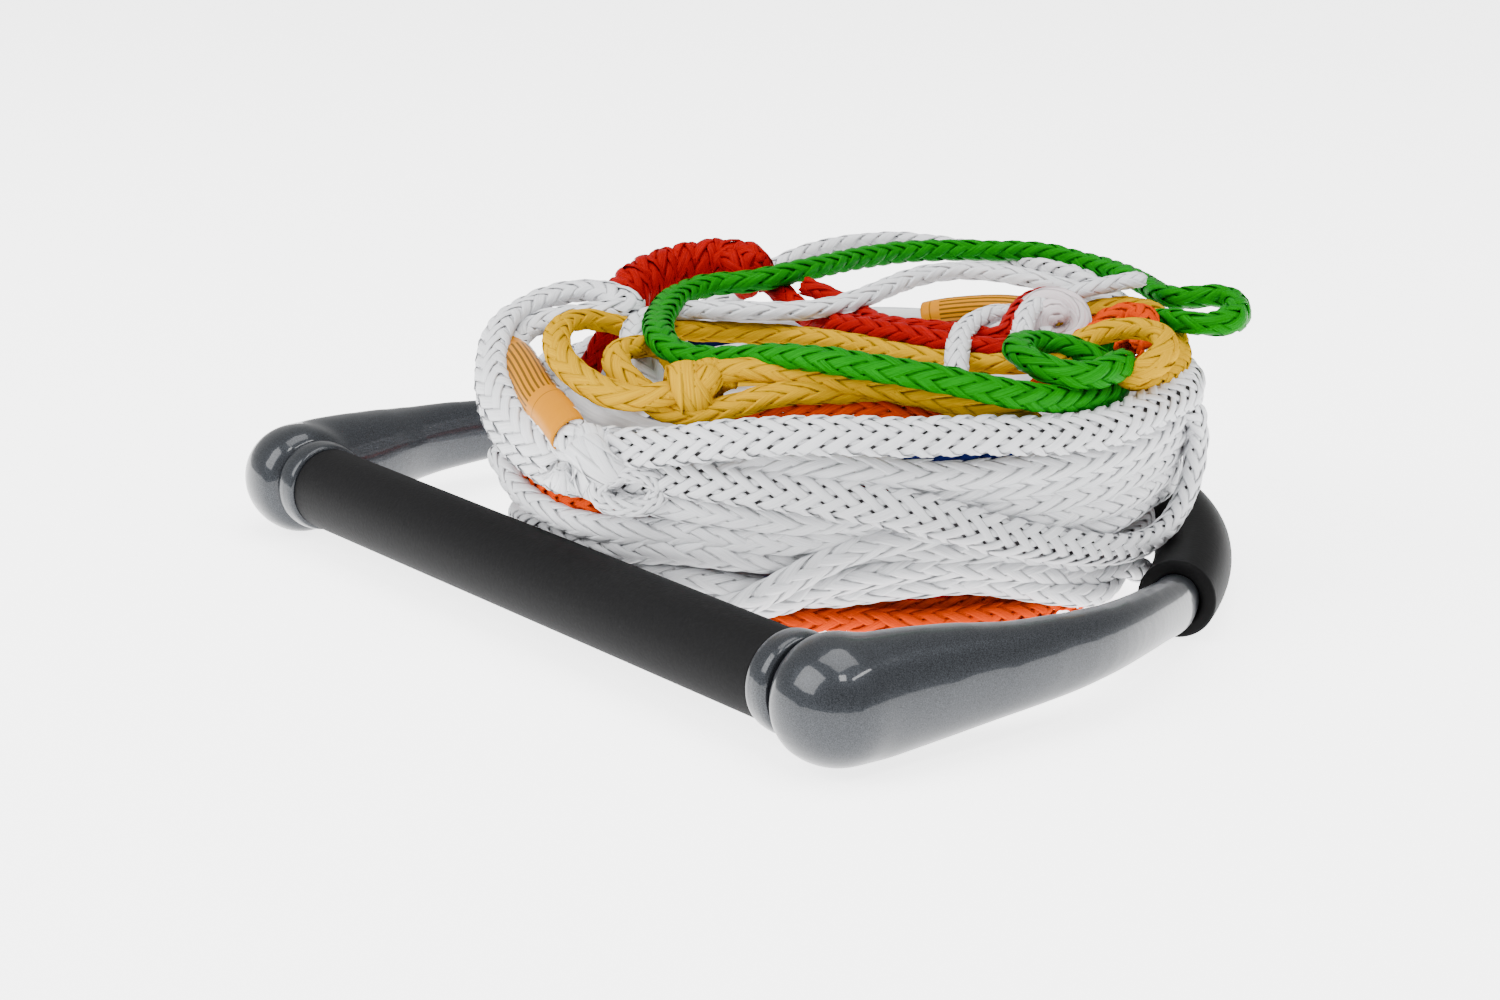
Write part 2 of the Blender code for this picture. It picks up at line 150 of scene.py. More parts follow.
def unit(v):
    return v / np.maximum(np.linalg.norm(v, axis=-1, keepdims=True), 1e-9)


def outward(P):
    """Direction away from the bundle's core ring, used to lay a rope's flat side."""
    d = P[:, :2] - np.array([CX, CY])
    r = np.linalg.norm(d, axis=1)
    e = d / np.maximum(r, 1e-6)[:, None]
    a = np.clip(r - 88.0, 0.0, None)
    b = P[:, 2] - 46.0
    b = np.where(a < 8, np.maximum(b, 10.0), b)
    n = np.stack([e[:, 0] * a, e[:, 1] * a, b], 1)
    return unit(n)


def path_frames(P, N=None):
    T = unit(np.gradient(P, axis=0))
    n = outward(P) if N is None else N
    for _ in range(6):
        n[1:-1] = 0.5 * n[1:-1] + 0.25 * (n[:-2] + n[2:])
    n = unit(n - np.sum(n * T, 1)[:, None] * T)
    # where the hint fails, carry the last good normal along
    for i in range(1, len(n)):
        if np.dot(n[i], n[i - 1]) < 0.2:
            v = n[i - 1] - np.dot(n[i - 1], T[i]) * T[i]
            n[i] = v / max(np.linalg.norm(v), 1e-9)
    for _ in range(3):
        n[1:-1] = 0.5 * n[1:-1] + 0.25 * (n[:-2] + n[2:])
    n = unit(n - np.sum(n * T, 1)[:, None] * T)
    W = np.cross(T, n)
    return T, W, n


def rim_table(a, b, m=256):
    t = np.linspace(0, 2 * np.pi, m + 1)
    x, y = a * np.cos(t), b * np.sin(t)
    s = np.concatenate([[0], np.cumsum(np.hypot(np.diff(x), np.diff(y)))])
    return s / s[-1], t, s[-1]


class Soup:
    """Collects rings into one mesh."""

    def __init__(self):
        self.v, self.q, self.uv, self.n = [], [], [], 0

    def rings(self, R, uv_across, uv_along, cap=True):
        ns, nr = R.shape[:2]
        q = grid_faces(ns, nr, self.n)
        self.v.append(R.reshape(-1, 3))
        ua = np.append(uv_across, 1.0)
        j = np.arange(nr)
        i = np.arange(ns - 1)
        u = np.stack([ua[j], ua[j + 1], ua[j + 1], ua[j]], -1)[None].repeat(ns - 1, 0)
        w = np.stack([uv_along[i], uv_along[i], uv_along[i + 1], uv_along[i + 1]], -1)[:, None].repeat(nr, 1)
        self.q.append(q)
        self.uv.append(np.stack([u, w], -1).reshape(-1, 2))
        self.n += ns * nr
        if cap:
            for k, base in ((0, self.n - ns * nr), (-1, self.n - nr)):
                c = R[k].mean(0)
                self.v.append(c[None])
                ci = self.n
                self.n += 1
                jj = np.arange(0, nr - 1, 2)
                last = [(base + a, base + (a + 1) % nr, base + (a + 2) % nr, ci) for a in jj]
                if nr % 2:
                    last.append((base + nr - 1, base, ci, ci))
                last = [f for f in last if len(set(f)) == 4]
                if k == 0:
                    last = [(f[0], f[3], f[2], f[1]) for f in last]
                last = np.array(last, np.int32).reshape(-1, 4)
                self.q.append(last)
                self.uv.append(np.tile([0.5, uv_along[k]], (len(last) * 4, 1)))

    def build(self, name, mats):
        return mesh_piece(name, np.vstack(self.v), np.vstack(self.q), uv=np.vstack(self.uv), mats=mats,
                          mat_index=getattr(self, "index", None))


RIB = np.array([(-0.5, 0.0), (-0.28, 0.42), (0.0, 0.55), (0.28, 0.42), (0.5, 0.0), (0.0, -0.45)])


def braid(soup, P, a, b, pitch=45.0, width=None, thick=0.80, lift=0.36, phase=60.0, fill=1.10,
          taper=None, N=None, seed=0, step=2.1, ragged=0.10):
    """Twelve flat strands, two over and two under, on an oval of half axes a, b along P (layout mm)."""
    P0 = P
    P = resample(P, step)
    ns = len(P)
    s = np.linspace(0, step * (ns - 1), ns)
    if N is not None:
        N = carry(P0, N, P)
    T, W, n = path_frames(P, N)
    scale = np.ones(ns) if taper is None else np.interp(s / s[-1], taper[0], taper[1])
    frac, ang, per = rim_table(a, b)
    if width is None:
        al = math.atan2(per, pitch)
        width = per * math.cos(al) / 6
        width = width * (fill if np.isscalar(fill) else np.interp(np.linspace(0, 1, ns), np.linspace(0, 1, len(fill)), fill))
    rs = np.random.RandomState(100 + seed)
    f0 = np.interp(math.radians(phase), ang, frac)
    for way in (1, -1):
        for i in range(6):
            f = (way * s / pitch + i / 6.0 + (0.0 if way > 0 else 0.0)) % 1.0
            wob = np.interp(s, np.linspace(0, s[-1] + 1, max(3, ns // 9)), rs.normal(0, 1, max(3, ns // 9)))
            th = np.interp(f, frac, ang)
            d = way * lift * np.cos(3 * 2 * np.pi * (f - f0)) + ragged * wob
            ct, st = np.cos(th), np.sin(th)
            q = (P + W * ((a * scale + d) * ct)[:, None] + n * ((b * scale + d) * st)[:, None])
            m = unit(W * (ct / a)[:, None] + n * (st / b)[:, None])
            t = unit(np.gradient(q, axis=0))
            m = unit(m - np.sum(m * t, 1)[:, None] * t)
            x = np.cross(t, m)
            wd = width * (1 + 0.06 * wob) * np.clip(scale, 0.45, 1.2)
            R = (q[:, None] + x[:, None] * (RIB[None, :, :1] * wd[:, None, None])
                 + m[:, None] * (RIB[None, :, 1:] * thick))
            soup.rings(R, np.linspace(0, 1, 6, endpoint=False) + (i + 6 * (way > 0)) * 1.37, s / 10.0)
    return P


def tube(soup, P, a, b, k=10, step=4.0, N=None, taper=None):
    P0 = P
    P = resample(P, step)
    s = np.linspace(0, step * (len(P) - 1), len(P))
    if N is not None:
        N = carry(P0, N, P)
    T, W, n = path_frames(P, N)
    scale = np.ones(len(P)) if taper is None else np.interp(s / s[-1], taper[0], taper[1])
    t = np.linspace(0, 2 * np.pi, k, endpoint=False)
    R = P[:, None] + (W[:, None] * (a * np.cos(t))[None, :, None] + n[:, None] * (b * np.sin(t))[None, :, None]) * scale[:, None, None]
    soup.rings(R, np.linspace(0, 1, k, endpoint=False), s / 10.0)
    return P


# ------------------------------------------------------------ materials
def new_mat(name):
    m = bpy.data.materials.new(name)
    m.use_nodes = True
    nt = m.node_tree
    return m, nt, nt.nodes["Principled BSDF"]


def rope_mat(name, rgb, dark, rough=0.42, fibre=0.45, soft=0.0, spec=0.09):
    """Flat filament strands: fine lines along the strand, slight shade changes between strands."""
    m, nt, bs = new_mat(name)
    uvn = nt.nodes.new("ShaderNodeUVMap")
    uvn.uv_map = "strand"
    mp = nt.nodes.new("ShaderNodeMapping")
    mp.inputs["Scale"].default_value = (22.0, 0.50, 1.0)
    nt.links.new(uvn.outputs["UV"], mp.inputs["Vector"])
    no = nt.nodes.new("ShaderNodeTexNoise")
    no.inputs["Scale"].default_value = 1.0
    no.inputs["Detail"].default_value = 2.0
    nt.links.new(mp.outputs["Vector"], no.inputs["Vector"])
    mix = nt.nodes.new("ShaderNodeMix")
    mix.data_type = "RGBA"
    mix.inputs["A"].default_value = (*dark, 1)
    mix.inputs["B"].default_value = (*rgb, 1)
    ramp = nt.nodes.new("ShaderNodeMapRange")
    ramp.inputs["From Min"].default_value = 0.30
    ramp.inputs["From Max"].default_value = 0.62
    nt.links.new(no.outputs["Fac"], ramp.inputs["Value"])
    nt.links.new(ramp.outputs["Result"], mix.inputs["Factor"])
    nt.links.new(mix.outputs["Result"], bs.inputs["Base Color"])
    bump = nt.nodes.new("ShaderNodeBump")
    bump.inputs["Strength"].default_value = fibre
    bump.inputs["Distance"].default_value = 0.0006
    nt.links.new(no.outputs["Fac"], bump.inputs["Height"])
    nt.links.new(bump.outputs["Normal"], bs.inputs["Normal"])
    bs.inputs["Roughness"].default_value = rough
    bs.inputs["Specular IOR Level"].default_value = spec
    if soft:
        bs.inputs["Subsurface Weight"].default_value = soft
        bs.inputs["Subsurface Radius"].default_value = (0.003, 0.003, 0.003)
        bs.inputs["Subsurface Scale"].default_value = 1.0
    return m


WHITE = rope_mat("line_white_look", (0.72, 0.725, 0.74), (0.58, 0.59, 0.615), 0.50, spec=0.22)
GREEN = rope_mat("line_green_look", (0.0, 0.195, 0.004), (0.0, 0.095, 0.001), 0.36, spec=0.03)
YELLOW = rope_mat("line_yellow_look", (0.54, 0.305, 0.0), (0.41, 0.20, 0.0), 0.42, spec=0.0)
RED = rope_mat("line_red_look", (0.34, 0.0, 0.0), (0.17, 0.0, 0.0), 0.38, spec=0.03)
ORANGE = rope_mat("line_orange_look", (0.60, 0.050, 0.0), (0.42, 0.026, 0.0), 0.42, spec=0.0)
BLUE = rope_mat("line_blue_look", (0.001, 0.005, 0.08), (0.0, 0.002, 0.035), 0.40, spec=0.05)
PINK = rope_mat("line_knot_look", (0.68, 0.64, 0.655), (0.62, 0.48, 0.51), 0.50, spec=0.22)
# Painted shade: dark material for tubes set inside the open braids, standing in for the shade in the rope's hollow
# core.
SHADE_INSIDE = rope_mat("line_inside_painted_shade", (0.17, 0.165, 0.165), (0.12, 0.115, 0.115), 0.8, spec=0.0)
GREEN_SHADE_INSIDE = rope_mat("line_inside_green_painted_shade", (0.0, 0.03, 0.0), (0.0, 0.02, 0.0), 0.8, spec=0.0)


# ------------------------------------------------------------ routes (layout mm)
def cyl(phi, r, z):
    a = math.radians(phi)
    return (CX + r * math.sin(a), CY - r * math.cos(a), z)


def phi_of(p):
    return math.degrees(math.atan2(p[0] - CX, CY - p[1]))


def r_of(p):
    return math.hypot(p[0] - CX, p[1] - CY)


def around(p, q, rb, zb, way=1, every=20.0):
    """Points behind the coil, from p round to q, easing to radius rb and height zb."""
    a, b = phi_of(p), phi_of(q)
    while (b - a) * way <= 0:
        b += 360 * way
    n = max(2, int(abs(b - a) / every))
    out = []
    for i in range(1, n):
        t = i / n
        e = math.sin(math.pi * t) ** 0.6
        r = (1 - t) * r_of(p) + t * r_of(q)
        z = (1 - t) * p[2] + t * q[2]
        out.append(cyl(a + (b - a) * t, r + (rb - r) * e + RNG.normal(0, 0.9), z + (zb - z) * e + RNG.normal(0, 0.8)))
    return out


def turns(p, levels, every=24.0, way=1):
    """Hidden turns inside the bundle after point p: a list of (radius, height)."""
    a = phi_of(p)
    out = []
    for r, z in levels:
        n = int(360 / every)
        for i in range(1, n + 1):
            out.append(cyl(a + way * every * i, r + RNG.normal(0, 1.3), z + RNG.normal(0, 1.2)))
        a += 360.0 * way
    return out


V, H = 1.0, 0.03       # how firmly a stretch keeps its place: seen, hidden


def seen(*pts):
    return [(*p, V) for p in pts]


def hid(pts):
    return [(*p, H) for p in pts]


E2 = [(17, 18, 26), (33, 20, 25), (46, 24, 25), (58, 30, 24), (66, 41, 22), (76, 52, 21), (85, 60, 23), (92, 69, 25),
      (99, 83, 26), (104, 99, 24), (107, 113, 21), (106, 130, 16), (102, 144, 12)]
C0 = [(-29, 19, 26), (2, 13, 30), (19, 13, 30), (32, 15, 32), (46, 20, 35), (57, 26, 35), (66, 34, 34), (75, 44, 33),
      (87, 58, 34), (94, 67, 37), (100, 77, 37), (104, 89, 36), (107, 102, 32), (108, 117, 28), (105, 136, 22)]
D0 = [(57, 32, 18), (66, 35, 21), (73, 38, 26), (79, 43, 31), (86, 50, 36), (90, 57, 41), (95, 66, 42), (101, 80, 41),
      (106, 102, 38), (108, 122, 37), (109, 138, 35), (105, 151, 36), (94, 173, 35), (80, 199, 35)]
B0 = [(-41, 18, 47), (-34, 14, 42), (-16, 9, 39), (0, 8, 38), (15, 9, 37), (30, 13, 38), (42, 18, 39), (53, 24, 40),
      (67, 33, 40), (79, 43, 41), (92, 60, 44), (103, 87, 46), (110, 109, 43), (112, 123, 43), (111, 141, 43),
      (103, 164, 43), (86, 192, 44)]
A0 = [(25, 13, 50), (38, 16, 50), (47, 19, 49), (58, 25, 49), (68, 32, 48), (77, 39, 47), (86, 50, 47), (93, 60, 48),
      (98, 76, 50), (105, 90, 49), (110, 103, 49), (112, 117, 49), (112, 134, 49), (107, 155, 49), (94, 183, 49),
      (83, 198, 51)]
F2 = [(89, 61, 58), (98, 71, 55), (104, 83, 55), (109, 94, 55), (112, 111, 55), (113, 133, 54), (109, 153, 55),
      (99, 177, 55), (84, 198, 55)]
F1 = [(63, 31, 63), (76, 40, 64), (88, 50, 64), (93, 57, 63), (101, 70, 61), (108, 84, 60), (112, 101, 59),
      (114, 120, 58), (114, 137, 58), (110, 155, 59), (103, 173, 62), (93, 187, 63)]
E1 = [(68, 40, 19), (75, 46, 23), (80, 49, 26), (88, 57, 30), (94, 67, 31), (99, 78, 32), (104, 89, 30),
      (107, 107, 26), (107, 123, 21), (103, 141, 16)]

ROUTES = {}


def route(name, *parts):
    pts = [p for part in parts for p in part]
    ROUTES[name] = np.array(pts, float)


# white main length, laid turn on turn from the floor up
route("main_white",
      hid([cyl(-60, 96, 9), cyl(-35, 100, 10), cyl(-10, 102, 11), cyl(15, 101, 13)]),
      seen(*E1), hid(around(E1[-1], E2[0], 97, 14)), seen(*E2), hid(around(E2[-1], C0[0], 100, 20)),
      seen(*C0), hid(around(C0[-1], D0[0], 98, 22)), seen(*D0), hid(around(D0[-1], B0[0], 104, 38)),
      seen(*B0), hid(around(B0[-1], A0[0], 104, 47)), seen(*A0), hid(around(A0[-1], F2[0], 104, 54)),
      seen(*F2), hid(around(F2[-1], F1[0], 103, 62)), seen(*F1),
      hid(around(F1[-1], cyl(100, 92, 60), 96, 66)),
      hid(turns(cyl(100, 92, 60), [(91, 56), (90, 46), (90, 36), (91, 26), (90, 16)])[:-2]))

OB1 = [(33, 6, 66), (45, 12, 67), (56, 18, 70), (66, 24, 72), (75, 31, 74), (84, 38, 75), (91, 47, 75), (97, 54, 75),
       (103, 63, 74), (108, 74, 74), (114, 89, 73), (118, 106, 71), (119, 120, 70), (118, 135, 70), (115, 151, 71.5),
       (110, 165, 71.5), (104, 177, 70), (94, 188, 68)]
OB3 = [(-66, 36, 64), (-56, 24, 67), (-47, 16, 68), (-35, 10, 64),
       (-22, 6, 59), (-6, 4, 56), (6, 4, 53), (18, 6, 53)]
OB2 = [(28, 10, 57), (41, 14, 58), (57, 21, 59), (71, 30, 58), (82, 40, 57), (91, 49, 56), (95, 55, 54), (100, 62, 52),
       (105, 72, 49), (109, 84, 44), (112, 97, 39), (113, 111, 35), (113, 128, 30), (110, 147, 26), (106, 163, 25),
       (103, 176, 29), (102, 183, 36), (101, 187, 45), (99, 190, 54), (100, 187, 62), (101, 181, 69)]
WLOOP = [(30, 0, 64), (23, -1, 68), (14, 1, 72), (-1, 5, 74), (-16, 11, 76), (-33, 18, 77.5), (-50, 24, 79),
         (-54, 33, 84), (-46, 44, 87), (-36, 52, 88), (-32, 59, 88), (-37, 65, 90), (-48, 65, 92), (-59, 60, 92),
         (-62, 47, 90), (-58, 33, 86), (-46, 18, 80), (-31, 6, 74), (-14, 1, 68), (5, -1, 63), (20, 1, 60)]
route("open_white",
      seen(*WLOOP), seen(*OB1), hid([(82, 200, 66), (66, 212, 66), (42, 225, 70)]),
      seen((10, 232, 82), (-30, 231, 85), (-59, 222, 86), (-74, 212, 87), (-84, 196, 86), (-92, 176, 82)),
      hid([(-94, 150, 72), (-92, 120, 64), (-86, 88, 60), (-77, 58, 60)]),
      seen(*OB3), seen(*OB2), hid([(96, 168, 70), (90, 152, 66)]),
      hid(turns((90, 152, 66), [(80, 60), (79, 50)])[:-4]))

W1 = [(8, 246, 46), (14, 239, 58), (22, 229, 70), (30, 217, 79), (38, 206, 85), (38, 195, 90), (31, 188, 92), (20, 184, 93.3),
      (6, 180, 93.5), (-2, 168, 93.3), (-2, 151, 92), (2, 133, 90), (1, 118, 88), (-5, 101, 88), (-18, 89, 88),
      (-29, 80, 88), (-30, 68, 87), (-18, 53, 86), (-4, 44, 84)]
route("handle_section",
      seen((0, 243.5, 26), (3, 247.5, 34)), seen(*W1), hid([(14, 38, 77), (34, 38, 71), (56, 44, 68)]),
      hid(turns((70, 48, 68), [(80, 40), (79, 30)]) + [cyl(phi_of((70, 48)) + 24 * i, 79, 20) for i in range(1, 5)]))

route("green",
      hid([(62, 176, 76), (60, 190, 78)]),
      seen((66, 204, 84), (79, 202, 85.5), (89, 203, 85.5), (91, 211, 86), (86, 221, 87), (79, 228.5, 88.5), (73, 229, 90.5),
           (69, 223, 90), (64, 216, 88), (54, 219, 87.5), (42, 225, 87.5), (27, 232, 87.5), (3, 238, 87), (-17, 234, 88), (-31, 223, 89),
           (-40, 207, 90), (-44, 188, 91), (-41, 166, 92), (-35, 144, 93), (-31, 123, 93), (-32, 112, 92),
           (-42, 106, 91), (-41, 95, 91), (-36, 84, 90), (-22, 67, 90), (-6, 53, 90), (10, 42, 90), (25, 38, 88),
           (36, 43, 88), (45, 48, 90), (58, 52, 91.5), (70, 57, 92), (82, 61, 92), (91, 69, 91), (100, 78, 89),
           (107, 88, 86), (112, 100, 83), (111, 116, 79), (109, 133, 77), (106, 146, 78), (97, 154, 80),
           (90, 148, 84), (80, 138, 88), (84, 124, 90), (94, 115, 90), (103, 114, 88), (111, 119, 86),
           (114, 130, 85), (108, 147, 85)))

route("yellow",
      hid([(48, 172, 82)]), seen((53, 185, 86), (56, 198, 87), (58, 211, 84.5)),
      hid([(78, 207, 77), (98, 184, 75), (107, 162, 77)]),
      seen((107, 142, 81), (116, 149, 84.5), (115, 158, 88.5), (105, 166, 91), (92, 167, 91), (85.5, 160.5, 89.5),
           (83, 150, 87), (87, 137, 83), (72, 130, 81), (57, 121, 80), (38, 116, 80), (19, 112, 80), (1, 106, 80),
           (-14, 96, 80), (-24, 82, 81), (-28, 66, 84), (-33, 50, 88), (-28, 33, 90), (-11, 17, 88), (3, 12, 84),
           (19, 11, 81), (34, 13, 79.5), (42, 26, 82), (47, 36, 88), (54, 47, 88), (63, 55, 86), (74, 62, 85),
           (82, 70, 84), (93, 80, 82), (104, 92, 79)),
      hid([(108, 108, 75), (102, 122, 72), (96, 110, 72)]),
      seen((92, 90, 77), (83, 80, 80), (75, 67, 82), (66, 52, 83), (58, 42, 80), (50, 33, 76), (40, 23, 75),
           (26, 20, 82), (15, 21, 85), (7, 27, 88), (3, 38, 87), (0, 50, 84)),
      hid([(-6, 66, 76), (-14, 72, 68), cyl(-30, 66, 62), cyl(-55, 68, 58), cyl(-80, 69, 56), cyl(-105, 69, 54),
           cyl(-130, 69, 52), cyl(-155, 69, 50)]))

CHAIN_A, CHAIN_B = (-60, 80, 85), (-50, 124, 95)


def chain():
    """Red line doubled back and chained on itself: a tight helix round a straight core."""
    ax = spline([(-55, 73, 84), (-60, 82, 88), (-64, 94, 91), (-63, 107, 93), (-57, 119, 94), (-46, 124, 92)], 2.0)
    T, W, n = path_frames(ax, np.tile([0.0, 0.0, 1.0], (len(ax), 1)))
    s = np.arange(len(ax)) * 2.0
    th = 2 * np.pi * s / 9.5
    return ax + (W * np.cos(th)[:, None] + n * np.sin(th)[:, None]) * 4.3, ax


CH, CH_AXIS = chain()
route("red",
      seen((72, 134, 84), (58, 125, 85), (42, 121, 85), (26, 118, 85), (10, 117, 84)),
      hid([(-8, 118, 82), (-24, 123, 84)]),
      seen((-38, 125, 89)), seen(*[tuple(p) for p in CH_AXIS[::-6]]),
      hid([(-56, 66, 74), cyl(-32, 96, 62)]),
      seen((-22, 14, 57), (5, 13, 55), (29, 18, 54), (41, 20, 53), (53, 25, 52), (61, 31, 53), (77, 44, 60),
           (85, 52, 60), (92, 62, 57)),
      hid(around((92, 62, 57), cyl(-20, 98, 22), 96, 34)),
      hid([cyl(0, 99, 17), cyl(25, 98, 16)]),
      seen((66, 55, 18.5), (76, 64, 19.5), (85, 77, 20), (92, 96, 19), (94, 109, 17)), hid([cyl(108, 96, 15), cyl(125, 94, 14)]))

route("red_top",
      seen((-24, 128, 90), (-8, 133, 86), (8, 128, 85), (20, 124, 85), (36, 127, 86), (46, 136, 86), (56, 139, 85),
           (63, 139, 85.5), (57, 147.5, 88), (45, 163, 90), (38, 177, 90.5), (37, 188, 89), (49, 186, 87), (58, 181, 83)))

route("orange",
      seen((80, 176, 80), (78, 186, 84), (72, 194, 87), (64, 194, 88), (63, 184, 86), (64, 174, 82)),
      hid([(74, 150, 76), (88, 120, 72), (94, 95, 72)]),
      seen((84, 76, 77), (73, 66, 78), (65, 53, 78), (56, 45, 77), (49, 34, 76)), hid([(34, 24, 70), (24, 22, 56)]),
      seen((24, 17, 45), (14, 12, 43.5), (5, 11, 43.5), (-6, 12, 44), (-31, 19, 44)),
      hid(around((-31, 19, 44), (98, 136, 10), 98, 30, way=-1)),
      seen((98, 131, 11), (101, 119, 12), (101, 108, 12), (99, 94, 12), (93, 79, 12), (84, 66, 13), (74, 54, 13),
           (69, 50, 12), (61, 44, 10)),
      hid([(50, 40, 8), (46, 47, 8), (56, 52, 10)]),
      seen((65, 55, 12), (76, 64, 14), (85, 76, 15), (93, 92, 14), (97, 106, 14), (99, 118, 13), (100, 128, 12),
           (97, 139, 10)))

for k, (r, z, p0, p1) in enumerate([(108, 64, 25, 292), (69, 30, 0, 400), (69, 18, 120, 520)]):
    pts = [cyl(p0 + 20 * i, r, z) for i in range(int((p1 - p0) / 20) + 1)]
    if k == 0:
        route("blue_1", seen(*[cyl(a, 109.5, 65.5 - 0.05 * (a - 55)) for a in (58, 66, 74, 82, 90)]),
              hid([cyl(105 + 20 * i, 100, 62) for i in range(10)]))
    else:
        route("blue_%d" % (k + 1), hid(pts))

route("tail_white",
      hid([(80, 103, 77), (74, 108, 80)]),
      seen((67, 114, 84), (54, 128, 87), (46, 142, 89), (44, 153, 90), (48, 163, 89)), hid([(60, 164, 83), (70, 150, 82)]),
      seen((69, 140, 84), (59, 148, 88.5), (50, 162, 91.5), (50, 173, 93), (52, 184, 94), (52.5, 197, 94.5), (54.5, 207, 95)))

# cord: half axes, diameter, material, pitch, strand fill, strand thickness, rise, real length, far end
SPEC = {
    "main_white": (4.6, 3.8, 9.0, WHITE, 54, 1.00, 0.95, 0.33, 8.25, "object"),
    "open_white": (6.5, 3.6, 10.6, WHITE, 44, 0.76, 0.80, 0.50, 2.25, "object"),
    "handle_section": (4.8, 3.0, 8.6, WHITE, 54, 1.02, 0.85, 0.30, 1.5, "object"),
    "green": (5.0, 3.8, 9.2, GREEN, 46, 0.98, 0.80, 0.42, 0.75, "object"),
    "yellow": (4.4, 3.4, 8.3, YELLOW, 56, 1.02, 0.85, 0.28, 1.0, "object"),
    "red": (4.0, 3.7, 8.0, RED, 46, 1.08, 0.85, 0.40, 1.75, "object"),
    "red_top": (3.6, 3.0, 7.0, RED, 44, 1.04, 0.8, 0.36, 0.15, "object"),
    "orange": (4.7, 3.9, 9.0, ORANGE, 42, 0.92, 0.95, 0.48, 1.25, "object"),
    "blue_1": (4.2, 3.8, 8.5, BLUE, 46, 1.08, 0.8, 0.36, 0.5, "object"),
    "blue_2": (4.2, 3.8, 8.5, BLUE, 46, 1.08, 0.8, 0.36, 0.5, "object"),
    "blue_3": (4.2, 3.8, 8.5, BLUE, 46, 1.08, 0.8, 0.36, 0.5, "object"),
    "tail_white": (3.8, 2.6, 7.0, WHITE, 42, 1.08, 0.7, 0.30, 0.3, "bare"),
}


